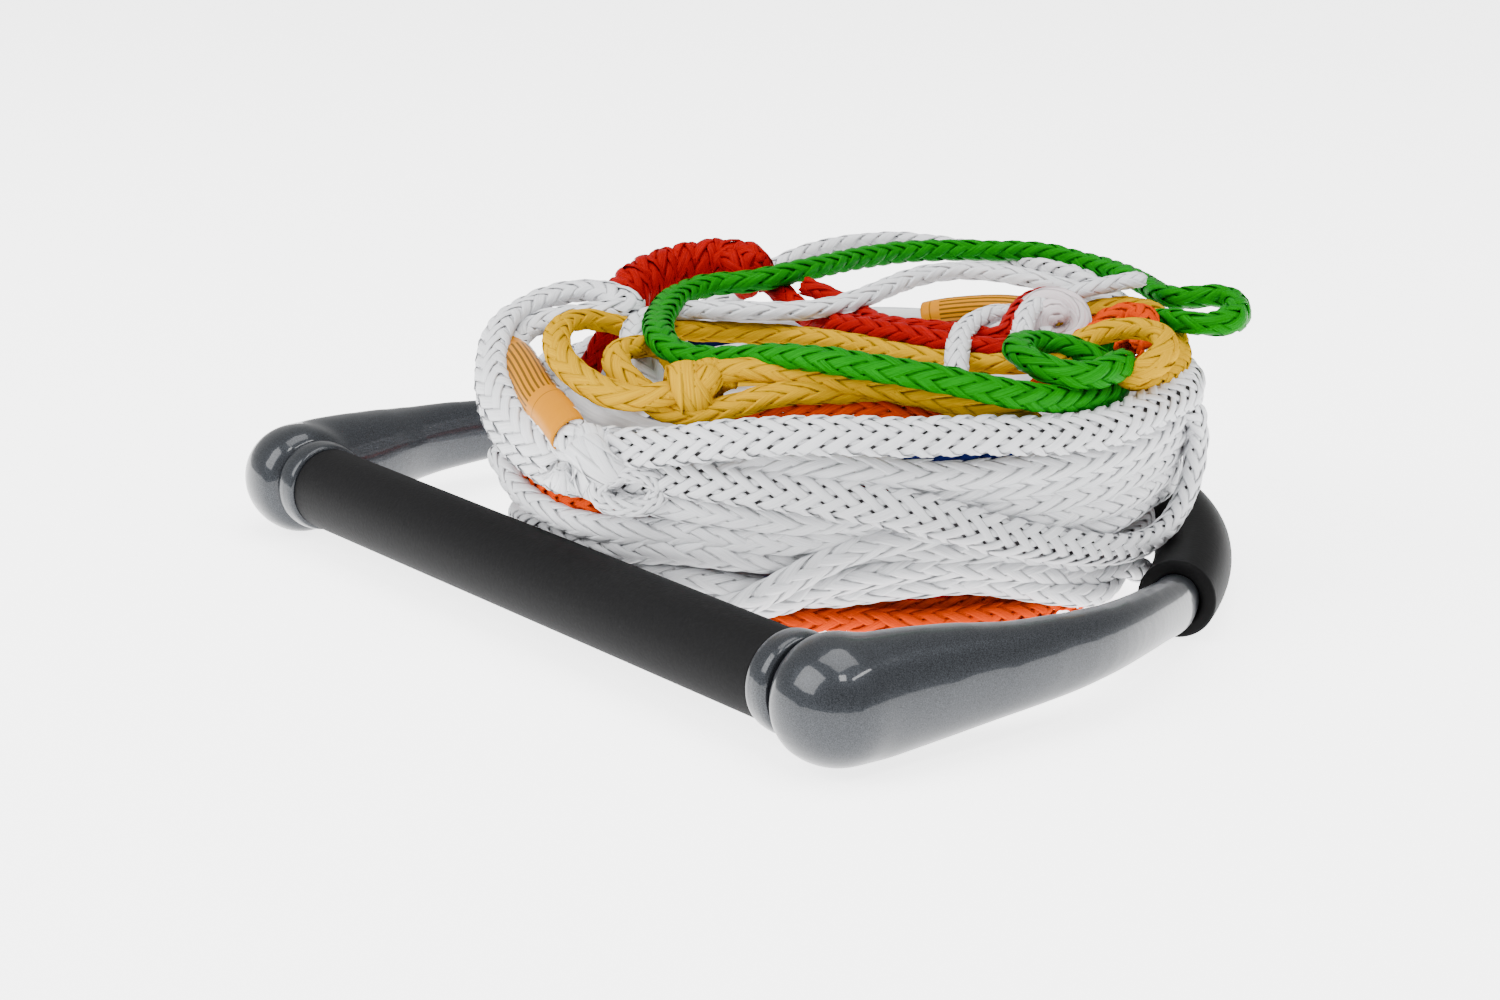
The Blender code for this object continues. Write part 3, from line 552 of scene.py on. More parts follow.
# ------------------------------------------------------------ laying the line
def settle(routes, iters=220, step=6.0):
    """Ropes as chains of beads that push each other apart and keep their seen stretches in place."""
    names = list(routes)
    X, K, Rad, Rid, Idx = [], [], [], [], []
    for c, name in enumerate(names):
        R = routes[name]
        P = spline(R[:, :3], step)
        # firmness follows the nearest control point
        d = ((P[:, None] - R[None, :, :3]) ** 2).sum(2)
        near = d.argmin(1)
        k = R[near, 3]
        a, b = SPEC[name][0], SPEC[name][1]
        X.append(P)
        K.append(k)
        Rad.append(np.full(len(P), 0.5 * (a + b) * 0.97))
        Rid.append(np.full(len(P), c))
        Idx.append(np.arange(len(P)))
    count = [len(x) for x in X]
    # fixed beads: grip, end caps, arms and floats
    fixed, frad = [], []
    for x in np.arange(-132, 133, 6.0):
        fixed.append((x, 0.0, BAR_Z)); frad.append(13.9)
    for sx in (-1, 1):
        fixed.append((sx * 142.0, 1.5, 19.0)); frad.append(21.0)
        for y, x, z, w, h in ARM:
            fixed.append((sx * x, y, z)); frad.append(w + 0.6)
        for t in np.linspace(0.77, 1.5197, 28):
            fixed.append((sx * 176.4 * math.cos(t), -41.7 + 280 * math.sin(t), 12.4)); frad.append(12.8)
    fixed, frad = np.array(fixed), np.array(frad)
    X = np.vstack(X)
    target = X.copy()
    K = np.concatenate(K)
    Rad = np.concatenate(Rad)
    Rid = np.concatenate(Rid)
    Idx = np.concatenate(Idx)
    n = len(X)
    A = np.vstack([X, fixed])
    rad = np.concatenate([Rad, frad])
    inv = np.concatenate([np.where(K > 0.5, 0.12, 1.0), np.zeros(len(fixed))])
    rid = np.concatenate([Rid, np.full(len(fixed), -1)])
    idx = np.concatenate([Idx, np.zeros(len(fixed), int)])
    first = np.concatenate([np.arange(c - 1) + o for c, o in zip(count, np.cumsum([0] + count[:-1]))])
    rest = np.linalg.norm(X[first + 1] - X[first], axis=1)
    pairs = None
    for it in range(iters):
        if it % 8 == 0:
            B = A.astype(np.float32)
            near = []
            for s in range(0, n, 500):
                d = ((B[s:s + 500, None, :] - B[None, :, :]) ** 2).sum(2)
                i, j = np.nonzero(d < 18.0 ** 2)
                i += s
                near.append(np.stack([i, j], 1))
            pr = np.vstack(near)
            i, j = pr[:, 0], pr[:, 1]
            ok = (i < j) & ~((rid[i] == rid[j]) & (np.abs(idx[i] - idx[j]) < 4))
            i, j = i[ok], j[ok]
            lim = rad[i] + rad[j]
            # strands already drawn together on purpose keep their distance
            d0 = np.linalg.norm(np.vstack([target, fixed])[i] - np.vstack([target, fixed])[j], axis=1)
            firm = (inv[i] < 0.5) & (inv[j] < 0.5)
            lim = np.where(firm, np.minimum(lim, np.maximum(d0, 0.72 * lim)), lim)
            pairs = (i, j, lim)
        A[:n, 2] -= 0.05 * (inv[:n] > 0.5)
        kk = np.where(K > 0.5, 0.30, 0.010)[:, None]
        A[:n] += kk * (target - A[:n])
        for sub in range(3):
            i, j, lim = pairs
            d = A[j] - A[i]
            L = np.linalg.norm(d, axis=1)
            pen = lim - L
            hit = pen > 0
            i2, j2 = i[hit], j[hit]
            w = inv[i2] + inv[j2]
            u = d[hit] / np.maximum(L[hit], 1e-3)[:, None]
            c = (pen[hit] / np.maximum(w, 1e-6))[:, None] * u
            acc = np.zeros_like(A)
            cnt = np.zeros(len(A))
            np.add.at(acc, i2, -c * inv[i2][:, None])
            np.add.at(acc, j2, c * inv[j2][:, None])
            np.add.at(cnt, i2, 1)
            np.add.at(cnt, j2, 1)
            A += acc / np.maximum(cnt, 1)[:, None] * 1.1
            # length
            d = A[first + 1] - A[first]
            L = np.linalg.norm(d, axis=1)
            w = inv[first] + inv[first + 1]
            c = ((L - rest) / np.maximum(L, 1e-3) / w)[:, None] * d * 0.5
            np.add.at(A, first, c * inv[first][:, None])
            np.add.at(A, first + 1, -c * inv[first + 1][:, None])
            A[:n, 2] = np.maximum(A[:n, 2], rad[:n] + 0.7)
        # bending
        mid = A[first[:-1]]
        for o, c in zip(np.cumsum([0] + count[:-1]), count):
            seg = A[o:o + c]
            lap = 0.5 * (seg[:-2] + seg[2:]) - seg[1:-1]
            seg[1:-1] += 0.18 * lap * (inv[o + 1:o + c - 1] > 0.5)[:, None] + 0.05 * lap
    out = {}
    o = 0
    for name, c in zip(names, count):
        out[name] = (A[o:o + c].copy(), K[o:o + c].copy())
        o += c
    return out


ARM = [
    (-6.0, 149.0, 19.0, 13.0, 16.0), (8.0, 149.4, 19.0, 15.4, 18.6), (18.0, 150.2, 19.3, 14.9, 18.0),
    (36.0, 153.1, 19.8, 13.0, 16.1), (54.0, 156.6, 20.0, 10.4, 13.5), (72.0, 157.6, 20.0, 8.6, 12.5),
    (90.0, 156.2, 19.8, 7.8, 11.2), (108.0, 150.9, 18.8, 7.6, 10.2), (126.0, 142.9, 16.9, 7.7, 9.5),
    (143.0, 134.0, 14.2, 7.7, 9.3)]

LAID = settle(ROUTES, 220)

OPEN_AT = spline(OB1, 6.0)
OPEN_AT = np.vstack([OPEN_AT, spline(OB2, 6.0)])
DECLARE = []
cord_facts = []
for ci, (name, (P, K)) in enumerate(LAID.items()):
    a, b, dia, mat, pitch, fill, thick, lift, real, far = SPEC[name]
    P = smooth_path(P, 2)
    soup = Soup()
    shade_tubes = []
    fine = spline(P, 2.0)
    d = ((fine[:, None, :] - P[None, :, :]) ** 2).sum(2).argmin(1)
    r = np.hypot(fine[:, 0] - CX, fine[:, 1] - CY)
    open_to_view = (K[d] > 0.5) | (r > 96) | (fine[:, 2] > 64)
    if name.startswith("blue_2") or name.startswith("blue_3"):
        open_to_view[:] = False
    # drop very short switches
    runs, s0 = [], 0
    for i in range(1, len(fine) + 1):
        if i == len(fine) or open_to_view[i] != open_to_view[s0]:
            runs.append([s0, i, bool(open_to_view[s0])])
            s0 = i
    merged = []
    for rn in runs:
        if merged and (rn[1] - rn[0] < 16 or merged[-1][2] == rn[2]):
            merged[-1][1] = rn[1]
        else:
            merged.append(rn)
    for (s0, s1, vis) in merged:
        lo, hi = max(0, s0 - 3), min(len(fine), s1 + 3)
        seg = fine[lo:hi]
        if len(seg) < 4:
            continue
        # open braids get a dark tube inside them: painted shade for the hollow core seen through the strand gaps
        if vis and name in ("open_white", "green"):
            shade_tubes.append(seg)
        if vis:
            f_, flat = fill, 1.0
            if name == "open_white":
                d2 = ((seg[:, None] - OPEN_AT[None]) ** 2).sum(2).min(1) < 15.0 ** 2
                f_ = np.convolve(np.pad(np.where(d2, fill, 0.98), 6, mode="edge"), np.ones(13) / 13, "valid")
            braid(soup, seg, a - lift - 0.3 * thick, b - lift - 0.3 * thick, pitch=pitch, fill=f_, seed=ci,
                  thick=thick, lift=lift, step=2.1)
        else:
            tube(soup, seg, a * 0.96, b * 0.96)
    nf = sum(len(q) for q in soup.q)
    # the dark inner tubes: painted shade, not a real core
    for seg in shade_tubes:
        tube(soup, seg, a - lift - thick - 0.9, b - lift - thick - 0.7, k=10, step=3.0)
    mi = np.zeros(sum(len(q) for q in soup.q), int)
    mi[nf:] = 1
    soup.index = mi if len(shade_tubes) else None
    ob = soup.build("rope_" + name, [mat, GREEN_SHADE_INSIDE if name == "green" else SHADE_INSIDE] if len(shade_tubes) else [mat])
    L = np.linalg.norm(np.diff(fine, axis=0), axis=1).sum() / 1000
    cord_facts.append((name, round(float(L), 3), real, len(ob.data.polygons)))
    DECLARE.append((name, ob, fine, float(L)))
print("CORDS", cord_facts)

BK = np.array([math.sin(math.radians(51.72)) * math.cos(math.radians(16)),
               -math.cos(math.radians(51.72)) * math.cos(math.radians(16)), math.sin(math.radians(16))])
RT = np.array([math.cos(math.radians(51.72)), math.sin(math.radians(51.72)), 0.0])
UP = np.cross(BK, RT)


def wraps(c, axis, radius, n_turns, pitch, start=0.0, squash=1.0, up=(0, 0, 1.0)):
    """A few turns of rope round an axis, and the outward normals that go with them."""
    ax = unit(np.array(axis, float))
    u = np.array(up, float)
    u = unit(u - np.dot(u, ax) * ax)
    v = np.cross(ax, u)
    m = int(n_turns * 26) + 1
    t = np.linspace(0, 2 * np.pi * n_turns, m) + math.radians(start)
    N = u[None] * np.cos(t)[:, None] + v[None] * (np.sin(t) * squash)[:, None]
    h = (np.linspace(0, 1, m) - 0.5) * pitch * n_turns
    return np.array(c, float) + N * radius + ax[None] * h[:, None], unit(N)


def extra(name, mat, body, parts):
    """A small piece made of braided stretches: (path, normals, a, b, options)."""
    soup = Soup()
    for k, (P, N, a, b, o) in enumerate(parts):
        st = 1.8
        braid(soup, P, a, b, N=N, seed=40 + k, step=st, **o)
    ob = soup.build(name, [mat])
    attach(ob, body)
    return ob


def from_px(path, step=3.0):
    return spline(np.array(path, float), step)


# knots and wraps
CL = dict(pitch=95, fill=1.15, thick=0.75, lift=0.18, taper=([0, 0.07, 0.93, 1], [0.3, 1, 1, 0.3]))
kn = []
p, N = wraps((27, 2.5, 61), RT * 0.95 + np.array([0, 0, -0.25]), 8.6, 1.6, 9.5, start=110, squash=0.75)
kn.append((p, N, 5.2, 2.4, CL))
p, N = wraps((33, 3.5, 63), RT * 0.8 + np.array([0, 0, 0.55]), 7.0, 1.1, 8.0, start=-60, squash=0.8)
kn.append((p, N, 5.0, 2.4, CL))
front_knot = extra("knot_front", WHITE, "line", kn)
t = np.linspace(0, 2 * np.pi, 40)
eye = np.array([41.5, 6.5, 54.5]) + RT[None] * (9.5 * np.cos(t))[:, None] + UP[None] * (5.2 * np.sin(t))[:, None]
eye = eye + BK[None] * (1.5 * np.sin(t))[:, None]
small_eye = extra("eye_small", WHITE, "line", [(eye, np.tile(BK, (40, 1)), 2.6, 1.5, dict(pitch=34, fill=0.8, thick=0.7, lift=0.3))])
kn = []
p, N = wraps((43.5, 30, 82), RT * 0.98 + np.array([0, 0, 0.15]), 6.6, 1.5, 7.5, start=200, squash=0.85)
kn.append((p, N, 4.6, 2.4, CL))
p, N = wraps((46.5, 33.5, 84), RT * 0.7 + np.array([0, 0, -0.7]), 4.6, 1.0, 6.0, start=20, squash=0.9)
kn.append((p, N, 3.8, 2.2, CL))
yellow_knot = extra("knot_yellow", YELLOW, "line", kn)
# pale knot at the end of the red stretch: a curl that faces forward
t = np.linspace(0, 1, 60)
an = np.radians(-140 - 560 * t)
rr = 9.0 * (1 - t) + 2.6 * t
curl = (np.array([54.0, 168.5, 85.0]) + RT[None] * (rr * np.cos(an) * 1.15)[:, None] + UP[None] * (rr * np.sin(an))[:, None]
        + BK[None] * (7 * t)[:, None])
end_knot = extra("knot_end", PINK, "line", [(curl, np.tile(BK * 0.8 + UP * 0.2, (60, 1)), 3.9, 2.6, CL)])
# chained red stretch
parts = []
TT, WW, NN = path_frames(CH_AXIS.copy(), np.tile([0.0, 0.0, 1.0], (len(CH_AXIS), 1)))
sc = np.arange(len(CH_AXIS)) * 2.0
for ph in (0.0, math.pi):
    th = 2 * np.pi * sc / 17.0 + ph
    e = WW * np.cos(th)[:, None] + NN * np.sin(th)[:, None]
    parts.append((CH_AXIS + e * 4.6, e, 4.6, 3.2, dict(pitch=40, fill=1.1, thick=0.9, lift=0.45)))
p, N = wraps(tuple(CH_AXIS[3] + np.array([0, -2, -3])), RT, 7.0, 1.3, 6.0, start=90)
parts.append((p, N, 3.6, 3.0, dict(pitch=40, fill=1.1, thick=0.9, lift=0.4)))
p, N = wraps(tuple(CH_AXIS[-3] + np.array([0, 0, -1])), (0.3, 1.0, 0.3), 6.0, 1.4, 7.0, start=0)
parts.append((p, N, 3.8, 3.0, dict(pitch=40, fill=1.1, thick=0.9, lift=0.4)))
red_chain = extra("chain_red", RED, "line", parts)


def sleeve_mat(name, n_rules, v0, v1, vcuff):
    """Printed sleeve, its print stood in for by plain ruled lines."""
    m, nt, bs = new_mat(name)
    uvn = nt.nodes.new("ShaderNodeUVMap")
    uvn.uv_map = "strand"
    sp = nt.nodes.new("ShaderNodeSeparateXYZ")
    nt.links.new(uvn.outputs["UV"], sp.inputs["Vector"])

    def mth(op, a, b=None, c=None):
        n = nt.nodes.new("ShaderNodeMath")
        n.operation = op
        for k, v in enumerate((a, b, c)):
            if v is None:
                continue
            if isinstance(v, (int, float)):
                n.inputs[k].default_value = v
            else:
                nt.links.new(v, n.inputs[k])
        return n.outputs[0]
    u, v = sp.outputs["X"], sp.outputs["Y"]
    line = mth("LESS_THAN", mth("FRACT", mth("MULTIPLY", u, float(n_rules))), 0.42)
    inside = mth("MULTIPLY", mth("GREATER_THAN", v, v0), mth("LESS_THAN", v, v1))
    rules = mth("MULTIPLY", line, inside)
    cuff = mth("COMPARE", v, vcuff, 0.022)
    mask = mth("MAXIMUM", mth("MULTIPLY", rules, 0.85), mth("MULTIPLY", cuff, 0.6))
    no = nt.nodes.new("ShaderNodeTexNoise")
    no.inputs["Scale"].default_value = 3.0
    nt.links.new(uvn.outputs["UV"], no.inputs["Vector"])
    base = nt.nodes.new("ShaderNodeMix"); base.data_type = "RGBA"
    base.inputs["A"].default_value = (0.46, 0.165, 0.0, 1)
    base.inputs["B"].default_value = (0.52, 0.20, 0.0, 1)
    nt.links.new(no.outputs["Fac"], base.inputs["Factor"])
    mix = nt.nodes.new("ShaderNodeMix"); mix.data_type = "RGBA"
    mix.inputs["B"].default_value = (0.06, 0.035, 0.0, 1)
    nt.links.new(base.outputs["Result"], mix.inputs["A"])
    nt.links.new(mask, mix.inputs["Factor"])
    nt.links.new(mix.outputs["Result"], bs.inputs["Base Color"])
    bs.inputs["Roughness"].default_value = 0.30
    bs.inputs["Specular IOR Level"].default_value = 0.05
    return m


def sleeve(name, cord, p0, p1, a, b, mat):
    P = spline(LAID[cord][0], 2.0)
    i = ((P - np.array(p0)) ** 2).sum(1).argmin()
    j = ((P - np.array(p1)) ** 2).sum(1).argmin()
    i, j = min(i, j), max(i, j)
    seg = smooth_path(P[i:j + 1], 6)
    S = resample(seg, 1.2)
    T, W, n = path_frames(S)
    k = 40
    t = np.linspace(0, 2 * np.pi, k, endpoint=False)
    m = len(S)
    rows = []
    for i_ in range(m):
        rows.append(S[i_] + W[i_] * (a * np.cos(t))[:, None] + n[i_] * (b * np.sin(t))[:, None])
    inner = lambda q: S[q] + W[q] * ((a - 0.8) * np.cos(t))[:, None] + n[q] * ((b - 0.8) * np.sin(t))[:, None]
    rows = [inner(2), inner(0)] + rows + [inner(m - 1), inner(m - 3)]
    soup = Soup()
    soup.rings(np.array(rows), np.linspace(0, 1, k, endpoint=False), np.concatenate([[0, 0], np.arange(m) * 0.12, [m * 0.12] * 2]), cap=True)
    ob = soup.build(name, [mat])
    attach(ob, "line")
    return ob, m * 1.2


sleeve_front, len1 = sleeve("sleeve_front", "open_white", (22, -1, 69), (-50, 25, 79), 6.4, 4.8,
                            sleeve_mat("sleeve_front_look", 22, 2.2, 6.6, 1.7))

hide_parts("line_coil")
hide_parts("handle_section")
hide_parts("green_section", "green_eye", "green_front_run")
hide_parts("yellow_loop", "yellow_section")
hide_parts("yellow_knot")
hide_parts("red_section")
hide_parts("red_chain")
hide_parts("end_knot")
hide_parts("line_tail")
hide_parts("orange_end")
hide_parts("label_sleeve_front")
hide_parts("white_eye")
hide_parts("front_knot")

for name, ob, fine, L in DECLARE:
    if name == "handle_section":
        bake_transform(ob)
    else:
        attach(ob, "line")

# second sleeve, on its own white stretch behind the red one
sl = spline([(10, 150, 82), (14, 152, 84), (24, 160, 86), (34, 167, 87), (42, 173, 86), (50, 180, 83)], 2.0)
LAID["sleeve_line"] = (sl, np.ones(len(sl)))
sleeve_rear, len2 = sleeve("sleeve_rear", "sleeve_line", (12, 151, 83), (46, 176, 85), 5.8, 4.4,
                           sleeve_mat("sleeve_rear_look", 18, 0.6, 3.4, 0.3))
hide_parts("label_sleeve_rear")

# noose of the line round the middle of the bridle, and the bridle itself
tb = np.linspace(0.80, math.pi - 0.80, 160)
arc = np.stack([176.4 * np.cos(tb), -41.7 + 280 * np.sin(tb), np.full(160, 12.4)], 1)
arc = resample(arc, 2.0)
soup = Soup()
mid = np.abs(arc[:, 0]) < 22
i0, i1 = np.nonzero(mid)[0][[0, -1]]
up_n = np.tile([0.0, 0.3, 1.0], (len(arc), 1))
braid(soup, arc[i0 - 2:i1 + 3], 3.7, 3.7, N=up_n[i0 - 2:i1 + 3].copy(), pitch=40, seed=71)
tube(soup, arc[:i0 + 1], 4.3, 4.3, N=up_n[:i0 + 1].copy())
tube(soup, arc[i1:], 4.3, 4.3, N=up_n[i1:].copy())
bridle = soup.build("bridle_look", [WHITE])
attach(bridle, "handle"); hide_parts("bridle_rope")
p, N = wraps((0, 238.3, 12.4), (1, 0, 0), 8.2, 1.7, 7.2, start=30)
hitch = extra("hitch_look", WHITE, "handle", [(p, N, 3.6, 2.6, CL)])
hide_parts("bridle_hitch")


# ------------------------------------------------------------ handle looks
def paint_mat():
    m, nt, bs = new_mat("cap_paint")
    tc = nt.nodes.new("ShaderNodeTexCoord")
    vo = nt.nodes.new("ShaderNodeTexNoise")
    vo.inputs["Scale"].default_value = 3600.0
    vo.inputs["Detail"].default_value = 1.0
    nt.links.new(tc.outputs["Object"], vo.inputs["Vector"])
    mix = nt.nodes.new("ShaderNodeMix")
    mix.data_type = "RGBA"
    mix.inputs["A"].default_value = (0.0105, 0.0120, 0.0146, 1)
    mix.inputs["B"].default_value = (0.037, 0.0412, 0.0475, 1)
    mr = nt.nodes.new("ShaderNodeMapRange")
    mr.inputs["From Min"].default_value = 0.35
    mr.inputs["From Max"].default_value = 0.68
    nt.links.new(vo.outputs["Fac"], mr.inputs["Value"])
    nt.links.new(mr.outputs["Result"], mix.inputs["Factor"])
    nt.links.new(mix.outputs["Result"], bs.inputs["Base Color"])
    bs.inputs["Metallic"].default_value = 0.5
    bs.inputs["Specular IOR Level"].default_value = 0.1
    bs.inputs["Roughness"].default_value = 0.36
    bs.inputs["Coat Weight"].default_value = 0.5
    bs.inputs["Coat Roughness"].default_value = 0.06
    return m


def dark_mat(name, rgb, rough, scale, bump, spec=0.3):
    m, nt, bs = new_mat(name)
    tc = nt.nodes.new("ShaderNodeTexCoord")
    no = nt.nodes.new("ShaderNodeTexNoise")
    no.inputs["Scale"].default_value = scale
    no.inputs["Detail"].default_value = 4.0
    nt.links.new(tc.outputs["Object"], no.inputs["Vector"])
    mix = nt.nodes.new("ShaderNodeMix")
    mix.data_type = "RGBA"
    mix.inputs["A"].default_value = (*[c * 0.75 for c in rgb], 1)
    mix.inputs["B"].default_value = (*[c * 1.25 for c in rgb], 1)
    nt.links.new(no.outputs["Fac"], mix.inputs["Factor"])
    nt.links.new(mix.outputs["Result"], bs.inputs["Base Color"])
    bp = nt.nodes.new("ShaderNodeBump")
    bp.inputs["Strength"].default_value = bump
    bp.inputs["Distance"].default_value = 0.0004
    nt.links.new(no.outputs["Fac"], bp.inputs["Height"])
    nt.links.new(bp.outputs["Normal"], bs.inputs["Normal"])
    bs.inputs["Roughness"].default_value = rough
    bs.inputs["Specular IOR Level"].default_value = spec
    return m


PAINT = paint_mat()
GRIP = dark_mat("grip_look", (0.0072, 0.0072, 0.0075), 0.62, 900.0, 0.25, 0.05)
FOAM = dark_mat("foam_look", (0.0052, 0.0052, 0.0054), 0.50, 700.0, 0.16, 0.03)
ALLOY = dark_mat("alloy_look", (0.6, 0.6, 0.62), 0.35, 300.0, 0.05)
RUBBER = dark_mat("plug_look", (0.03, 0.03, 0.03), 0.7, 300.0, 0.05)


def revolve(name, profile, sx, x0, y, z, mat, k=96):
    """Turned about X.  profile: closed loop of (radius, x)."""
    P = np.array(profile, float)
    t = np.linspace(0, 2 * np.pi, k, endpoint=False)
    V = np.stack([np.broadcast_to((x0 + sx * P[:, 1])[:, None], (len(P), k)),
                  y + P[:, 0][:, None] * np.cos(t)[None] * sx, z + P[:, 0][:, None] * np.sin(t)[None]], -1)
    Vc = np.concatenate([V, V[:1]], 0)
    q = grid_faces(len(P) + 1, k)
    q = q % (len(P) * k)
    return mesh_piece(name, V.reshape(-1, 3), q[:, ::-1], mats=[mat])


def rounded(pts, r, k=4):
    """Rounds the corners of a closed profile."""
    P = np.array(pts, float)
    out = []
    for i in range(len(P)):
        a, b, c = P[i - 1], P[i], P[(i + 1) % len(P)]
        u, v = unit(a - b), unit(c - b)
        rr = min(r, 0.45 * np.linalg.norm(a - b), 0.45 * np.linalg.norm(c - b))
        for t in np.linspace(0, 1, k):
            p = (1 - t) ** 2 * (b + u * rr) + 2 * t * (1 - t) * b + t * t * (b + v * rr)
            out.append(p)
    return out


grip = revolve("grip_look", rounded([(13.7, -123.7), (13.7, 123.7), (11.2, 123.7), (11.2, -123.7)], 1.0), 1, 0, 0, BAR_Z, GRIP)
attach(grip, "handle"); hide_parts("grip_sleeve")

for sx, word in ((-1, "left"), (1, "right")):
    prof = [(11.3, 124.0), (13.8, 124.0), (14.6, 124.5), (15.0, 126.0), (15.25, 128.5), (15.2, 130.5), (14.8, 132.2),
            (13.9, 133.1), (11.3, 133.1)]
    col = revolve(word + "_collar_look", rounded(prof, 0.35, 3), sx, 0, 0, BAR_Z, PAINT)
    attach(col, "handle"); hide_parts(word + "_collar")

    # end cap: knob and arm fused by a remesh, then softened
    bm = bmesh.new()
    k = 64
    prof = [(0.0, 133.4), (11.0, 133.4), (14.2, 133.6), (16.6, 135.0), (18.3, 137.6), (19.15, 141.5), (19.2, 145.0),
            (18.6, 149.5), (17.4, 153.5), (15.2, 157.6), (12.2, 160.9), (8.3, 163.4), (4.2, 164.8), (0.0, 165.2)]
    t = np.linspace(0, 2 * np.pi, k, endpoint=False)
    rings = []
    for r, x in prof[1:-1]:
        rings.append([bm.verts.new((sx * x, 1.0 + r * math.cos(q), 18.9 + r * math.sin(q))) for q in t])
    for A_, B_ in zip(rings[:-1], rings[1:]):
        for i in range(k):
            bm.faces.new((A_[i], A_[(i + 1) % k], B_[(i + 1) % k], B_[i]))
    c0 = bm.verts.new((sx * prof[0][1], 1.0, 18.9)); c1 = bm.verts.new((sx * prof[-1][1], 1.0, 18.9))
    for i in range(k):
        bm.faces.new((c0, rings[0][(i + 1) % k], rings[0][i]))
        bm.faces.new((c1, rings[-1][i], rings[-1][(i + 1) % k]))
    # arm
    tip_t = 0.770
    tip = (176.4 * math.cos(tip_t), -41.7 + 280 * math.sin(tip_t), 12.4)
    st = [(x, y, z, w, h) for (y, x, z, w, h) in ARM]
    for f, w, h in ((-1.2, 7.7, 9.1), (7.0, 7.2, 7.4)):
        tt = tip_t + f / 222.0
        st.append((176.4 * math.cos(tt), -41.7 + 280 * math.sin(tt), 12.6 if f < 0 else 12.4, w, h))
    S5 = np.array(st, float)
    s_ = np.concatenate([[0], np.cumsum(np.linalg.norm(np.diff(S5[:, :3], axis=0), axis=1))])
    tt = np.linspace(0, s_[-1], 90)
    # smooth through the stations
    dense = spline(S5[:, :3], 2.0)
    sd = np.linspace(0, 1, len(dense))
    wd = np.interp(sd, s_ / s_[-1], S5[:, 3]); hd = np.interp(sd, s_ / s_[-1], S5[:, 4])
    for _ in range(6):
        wd[1:-1] = 0.5 * wd[1:-1] + 0.25 * (wd[:-2] + wd[2:]); hd[1:-1] = 0.5 * hd[1:-1] + 0.25 * (hd[:-2] + hd[2:])
    T = unit(np.gradient(dense, axis=0))
    up = np.tile([0, 0, 1.0], (len(dense), 1))
    side = unit(np.cross(T, up))
    up = np.cross(side, T)
    ringk = 48
    q = np.linspace(0, 2 * np.pi, ringk, endpoint=False)
    prev = None
    first_ring = None
    for i in range(len(dense)):
        c = dense[i]
        pw = 2.0 / np.interp(c[1], [20.0, 60.0], [2.0, 2.3])
        cs, sn = np.sign(np.cos(q)) * np.abs(np.cos(q)) ** pw, np.sign(np.sin(q)) * np.abs(np.sin(q)) ** pw
        ring = [bm.verts.new((sx * v[0], v[1], v[2])) for v in
                (c + side[i] * wd[i] * cs[j] + up[i] * hd[i] * sn[j] for j in range(ringk))]
        if prev:
            for j in range(ringk):
                bm.faces.new((prev[j], prev[(j + 1) % ringk], ring[(j + 1) % ringk], ring[j]))
        else:
            first_ring = ring
        prev = ring
    bm.faces.new(first_ring[::-1]); bm.faces.new(prev)
    bmesh.ops.recalc_face_normals(bm, faces=bm.faces)
    for v in bm.verts:
        v.co = Vector(((v.co.x) * MM, (v.co.y - OY) * MM, v.co.z * MM))
    me = bpy.data.meshes.new(word + "_cap_look")
    bm.to_mesh(me); bm.free()
    cap = bpy.data.objects.new(word + "_cap_look", me)
    bpy.context.scene.collection.objects.link(cap)
    me.materials.append(PAINT)
    rm = cap.modifiers.new("fuse", "REMESH"); rm.mode = "VOXEL"; rm.voxel_size = 0.0014; rm.use_smooth_shade = True
    sm = cap.modifiers.new("soften", "SMOOTH"); sm.factor = 0.5; sm.iterations = 46
    sub = cap.modifiers.new("fine", "SUBSURF"); sub.levels = 1; sub.render_levels = 1
    bpy.context.view_layer.update()
    dg = bpy.context.evaluated_depsgraph_get()
    fused = bpy.data.meshes.new_from_object(cap.evaluated_get(dg))
    cap.modifiers.clear()
    cap.data = fused
    fused.polygons.foreach_set("use_smooth", np.ones(len(fused.polygons), bool))
    if not fused.materials:
        fused.materials.append(PAINT)
    print("CAP", word, len(fused.polygons))
    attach(cap, "handle"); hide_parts(word + "_end_cap")

    # float
    soup = Soup()
    tt = np.linspace(0.770, 1.5197, 120)
    C = np.stack([sx * 176.4 * np.cos(tt), -41.7 + 280 * np.sin(tt), np.full(120, 12.4)], 1)
    C = resample(C, 2.0)
    T = unit(np.gradient(C, axis=0))
    up = np.tile([0, 0, 1.0], (len(C), 1)); side = np.cross(T, up)
    kk = 56
    q = np.linspace(0, 2 * np.pi, kk, endpoint=False)
    ends = [(7.9, 6.0), (7.9, 0.0), (9.0, -0.3), (11.2, -0.2), (12.1, 0.35), (12.4, 1.4)]
    rows = []
    for r, off in ends:
        rows.append(C[0] + T[0] * off + (side[0] * np.cos(q)[:, None] + up[0] * np.sin(q)[:, None]) * r)
    for i in range(1, len(C) - 1):
        rows.append(C[i] + (side[i] * np.cos(q)[:, None] + up[i] * np.sin(q)[:, None]) * 12.4)
    for r, off in ends[::-1]:
        rows.append(C[-1] - T[-1] * off + (side[-1] * np.cos(q)[:, None] + up[-1] * np.sin(q)[:, None]) * (r if r > 8 else 5.4))
    R = np.array(rows)
    if sx > 0:
        pass
    soup.rings(R if sx > 0 else R[:, ::-1], np.linspace(0, 1, kk, endpoint=False), np.arange(len(R)) * 0.2, cap=True)
    fl = soup.build(word + "_float_look", [FOAM])
    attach(fl, "handle"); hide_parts(word + "_float")

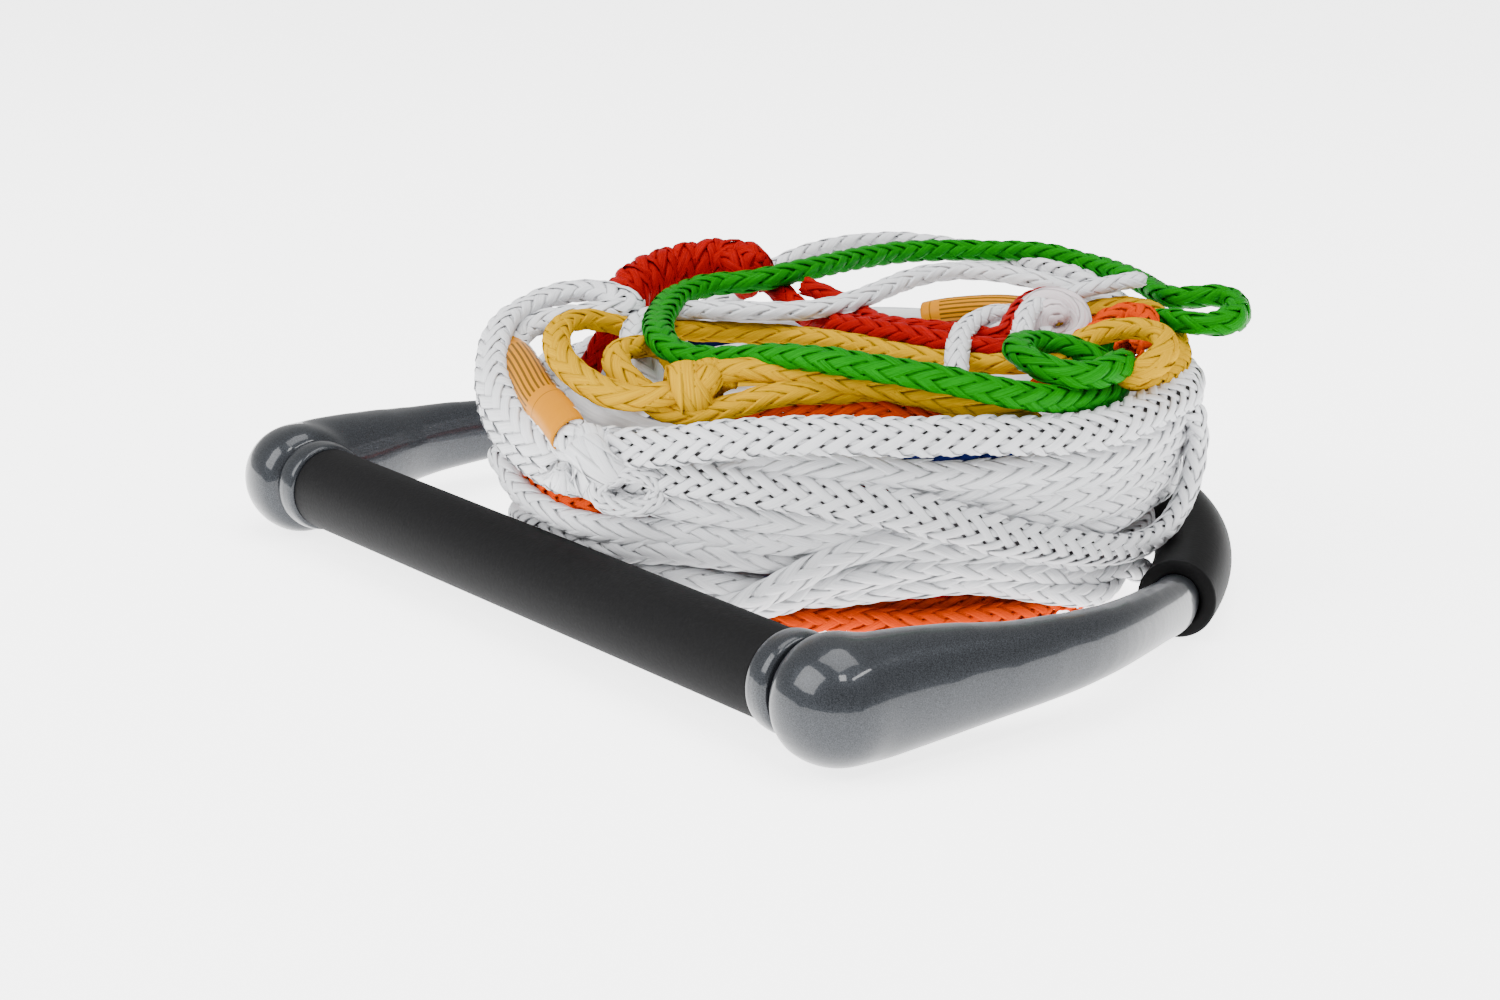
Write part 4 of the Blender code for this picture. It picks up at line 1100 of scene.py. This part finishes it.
for n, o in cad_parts.items():
    mat = {"bar_tube": ALLOY, "left_bar_plug": RUBBER, "right_bar_plug": RUBBER, "bridle_rope": WHITE,
           "left_stopper_knot": WHITE, "right_stopper_knot": WHITE}.get(n)
    if mat is not None and o.type == "MESH":
        for s in o.material_slots:
            s.material = mat

# ------------------------------------------------------------ stage, light, camera
def stage_plane():
    me = bpy.data.meshes.new("floor")
    s = 6.0
    me.from_pydata([(-s, -s, 0), (s, -s, 0), (s, s, 0), (-s, s, 0)], [], [(0, 1, 2, 3)])
    ob = bpy.data.objects.new("floor", me)
    bpy.context.scene.collection.objects.link(ob)
    m, nt, bs = new_mat("floor_white")
    bs.inputs["Base Color"].default_value = (0.93, 0.93, 0.93, 1)
    bs.inputs["Emission Color"].default_value = (1.0, 1.0, 1.0, 1)
    bs.inputs["Emission Strength"].default_value = 3.3
    bs.inputs["Roughness"].default_value = 0.9
    bs.inputs["Specular IOR Level"].default_value = 0.0
    me.materials.append(m)
    ob.location.z = -0.0002


stage_plane()
world = bpy.data.worlds.new("studio")
bpy.context.scene.world = world
world.use_nodes = True
world.node_tree.nodes["Background"].inputs["Color"].default_value = (1.0, 1.0, 1.0, 1)
world.node_tree.nodes["Background"].inputs["Strength"].default_value = 0.70


def area(name, loc, aim, size, watt, size_y=None):
    d = bpy.data.lights.new(name, "AREA")
    d.energy = watt
    d.shape = "RECTANGLE"
    d.size = size
    d.size_y = size_y or size
    o = bpy.data.objects.new(name, d)
    bpy.context.scene.collection.objects.link(o)
    o.location = loc
    o.rotation_euler = (Vector(aim) - Vector(loc)).to_track_quat("-Z", "Y").to_euler()
    return o


AZ, EL = math.radians(51.72), math.radians(15.995)
back = Vector((math.sin(AZ) * math.cos(EL), -math.cos(AZ) * math.cos(EL), math.sin(EL)))
right = Vector((math.cos(AZ), math.sin(AZ), 0.0))
upv = right.cross(-back) * -1.0
aim = Vector((0.0, 0.0, 0.04))
area("key", aim + back * 0.7 + right * -1.5 + Vector((0, 0, 1.1)), aim, 1.3, 46)
area("top", aim + Vector((0, 0, 1.6)), aim, 1.1, 22)
area("window", aim + back * 1.1 + right * 0.1 + Vector((0, 0, 1.25)), aim, 0.34, 7)

area("strip", aim + right * 0.75 + back * 0.55 + Vector((0, 0, 1.0)), aim, 0.9, 7, 0.12)

cam_data = bpy.data.cameras.new("camera")
cam = bpy.data.objects.new("camera", cam_data)
bpy.context.scene.collection.objects.link(cam)
cam.location = to_m((730.2, -490.8, 294.8))
cam.rotation_euler = (-back).to_track_quat("-Z", "Y").to_euler()
cam_data.lens = 71.14
cam_data.sensor_width = 36.0
cam_data.clip_start = 0.01
cam_data.clip_end = 50
bpy.context.scene.camera = cam
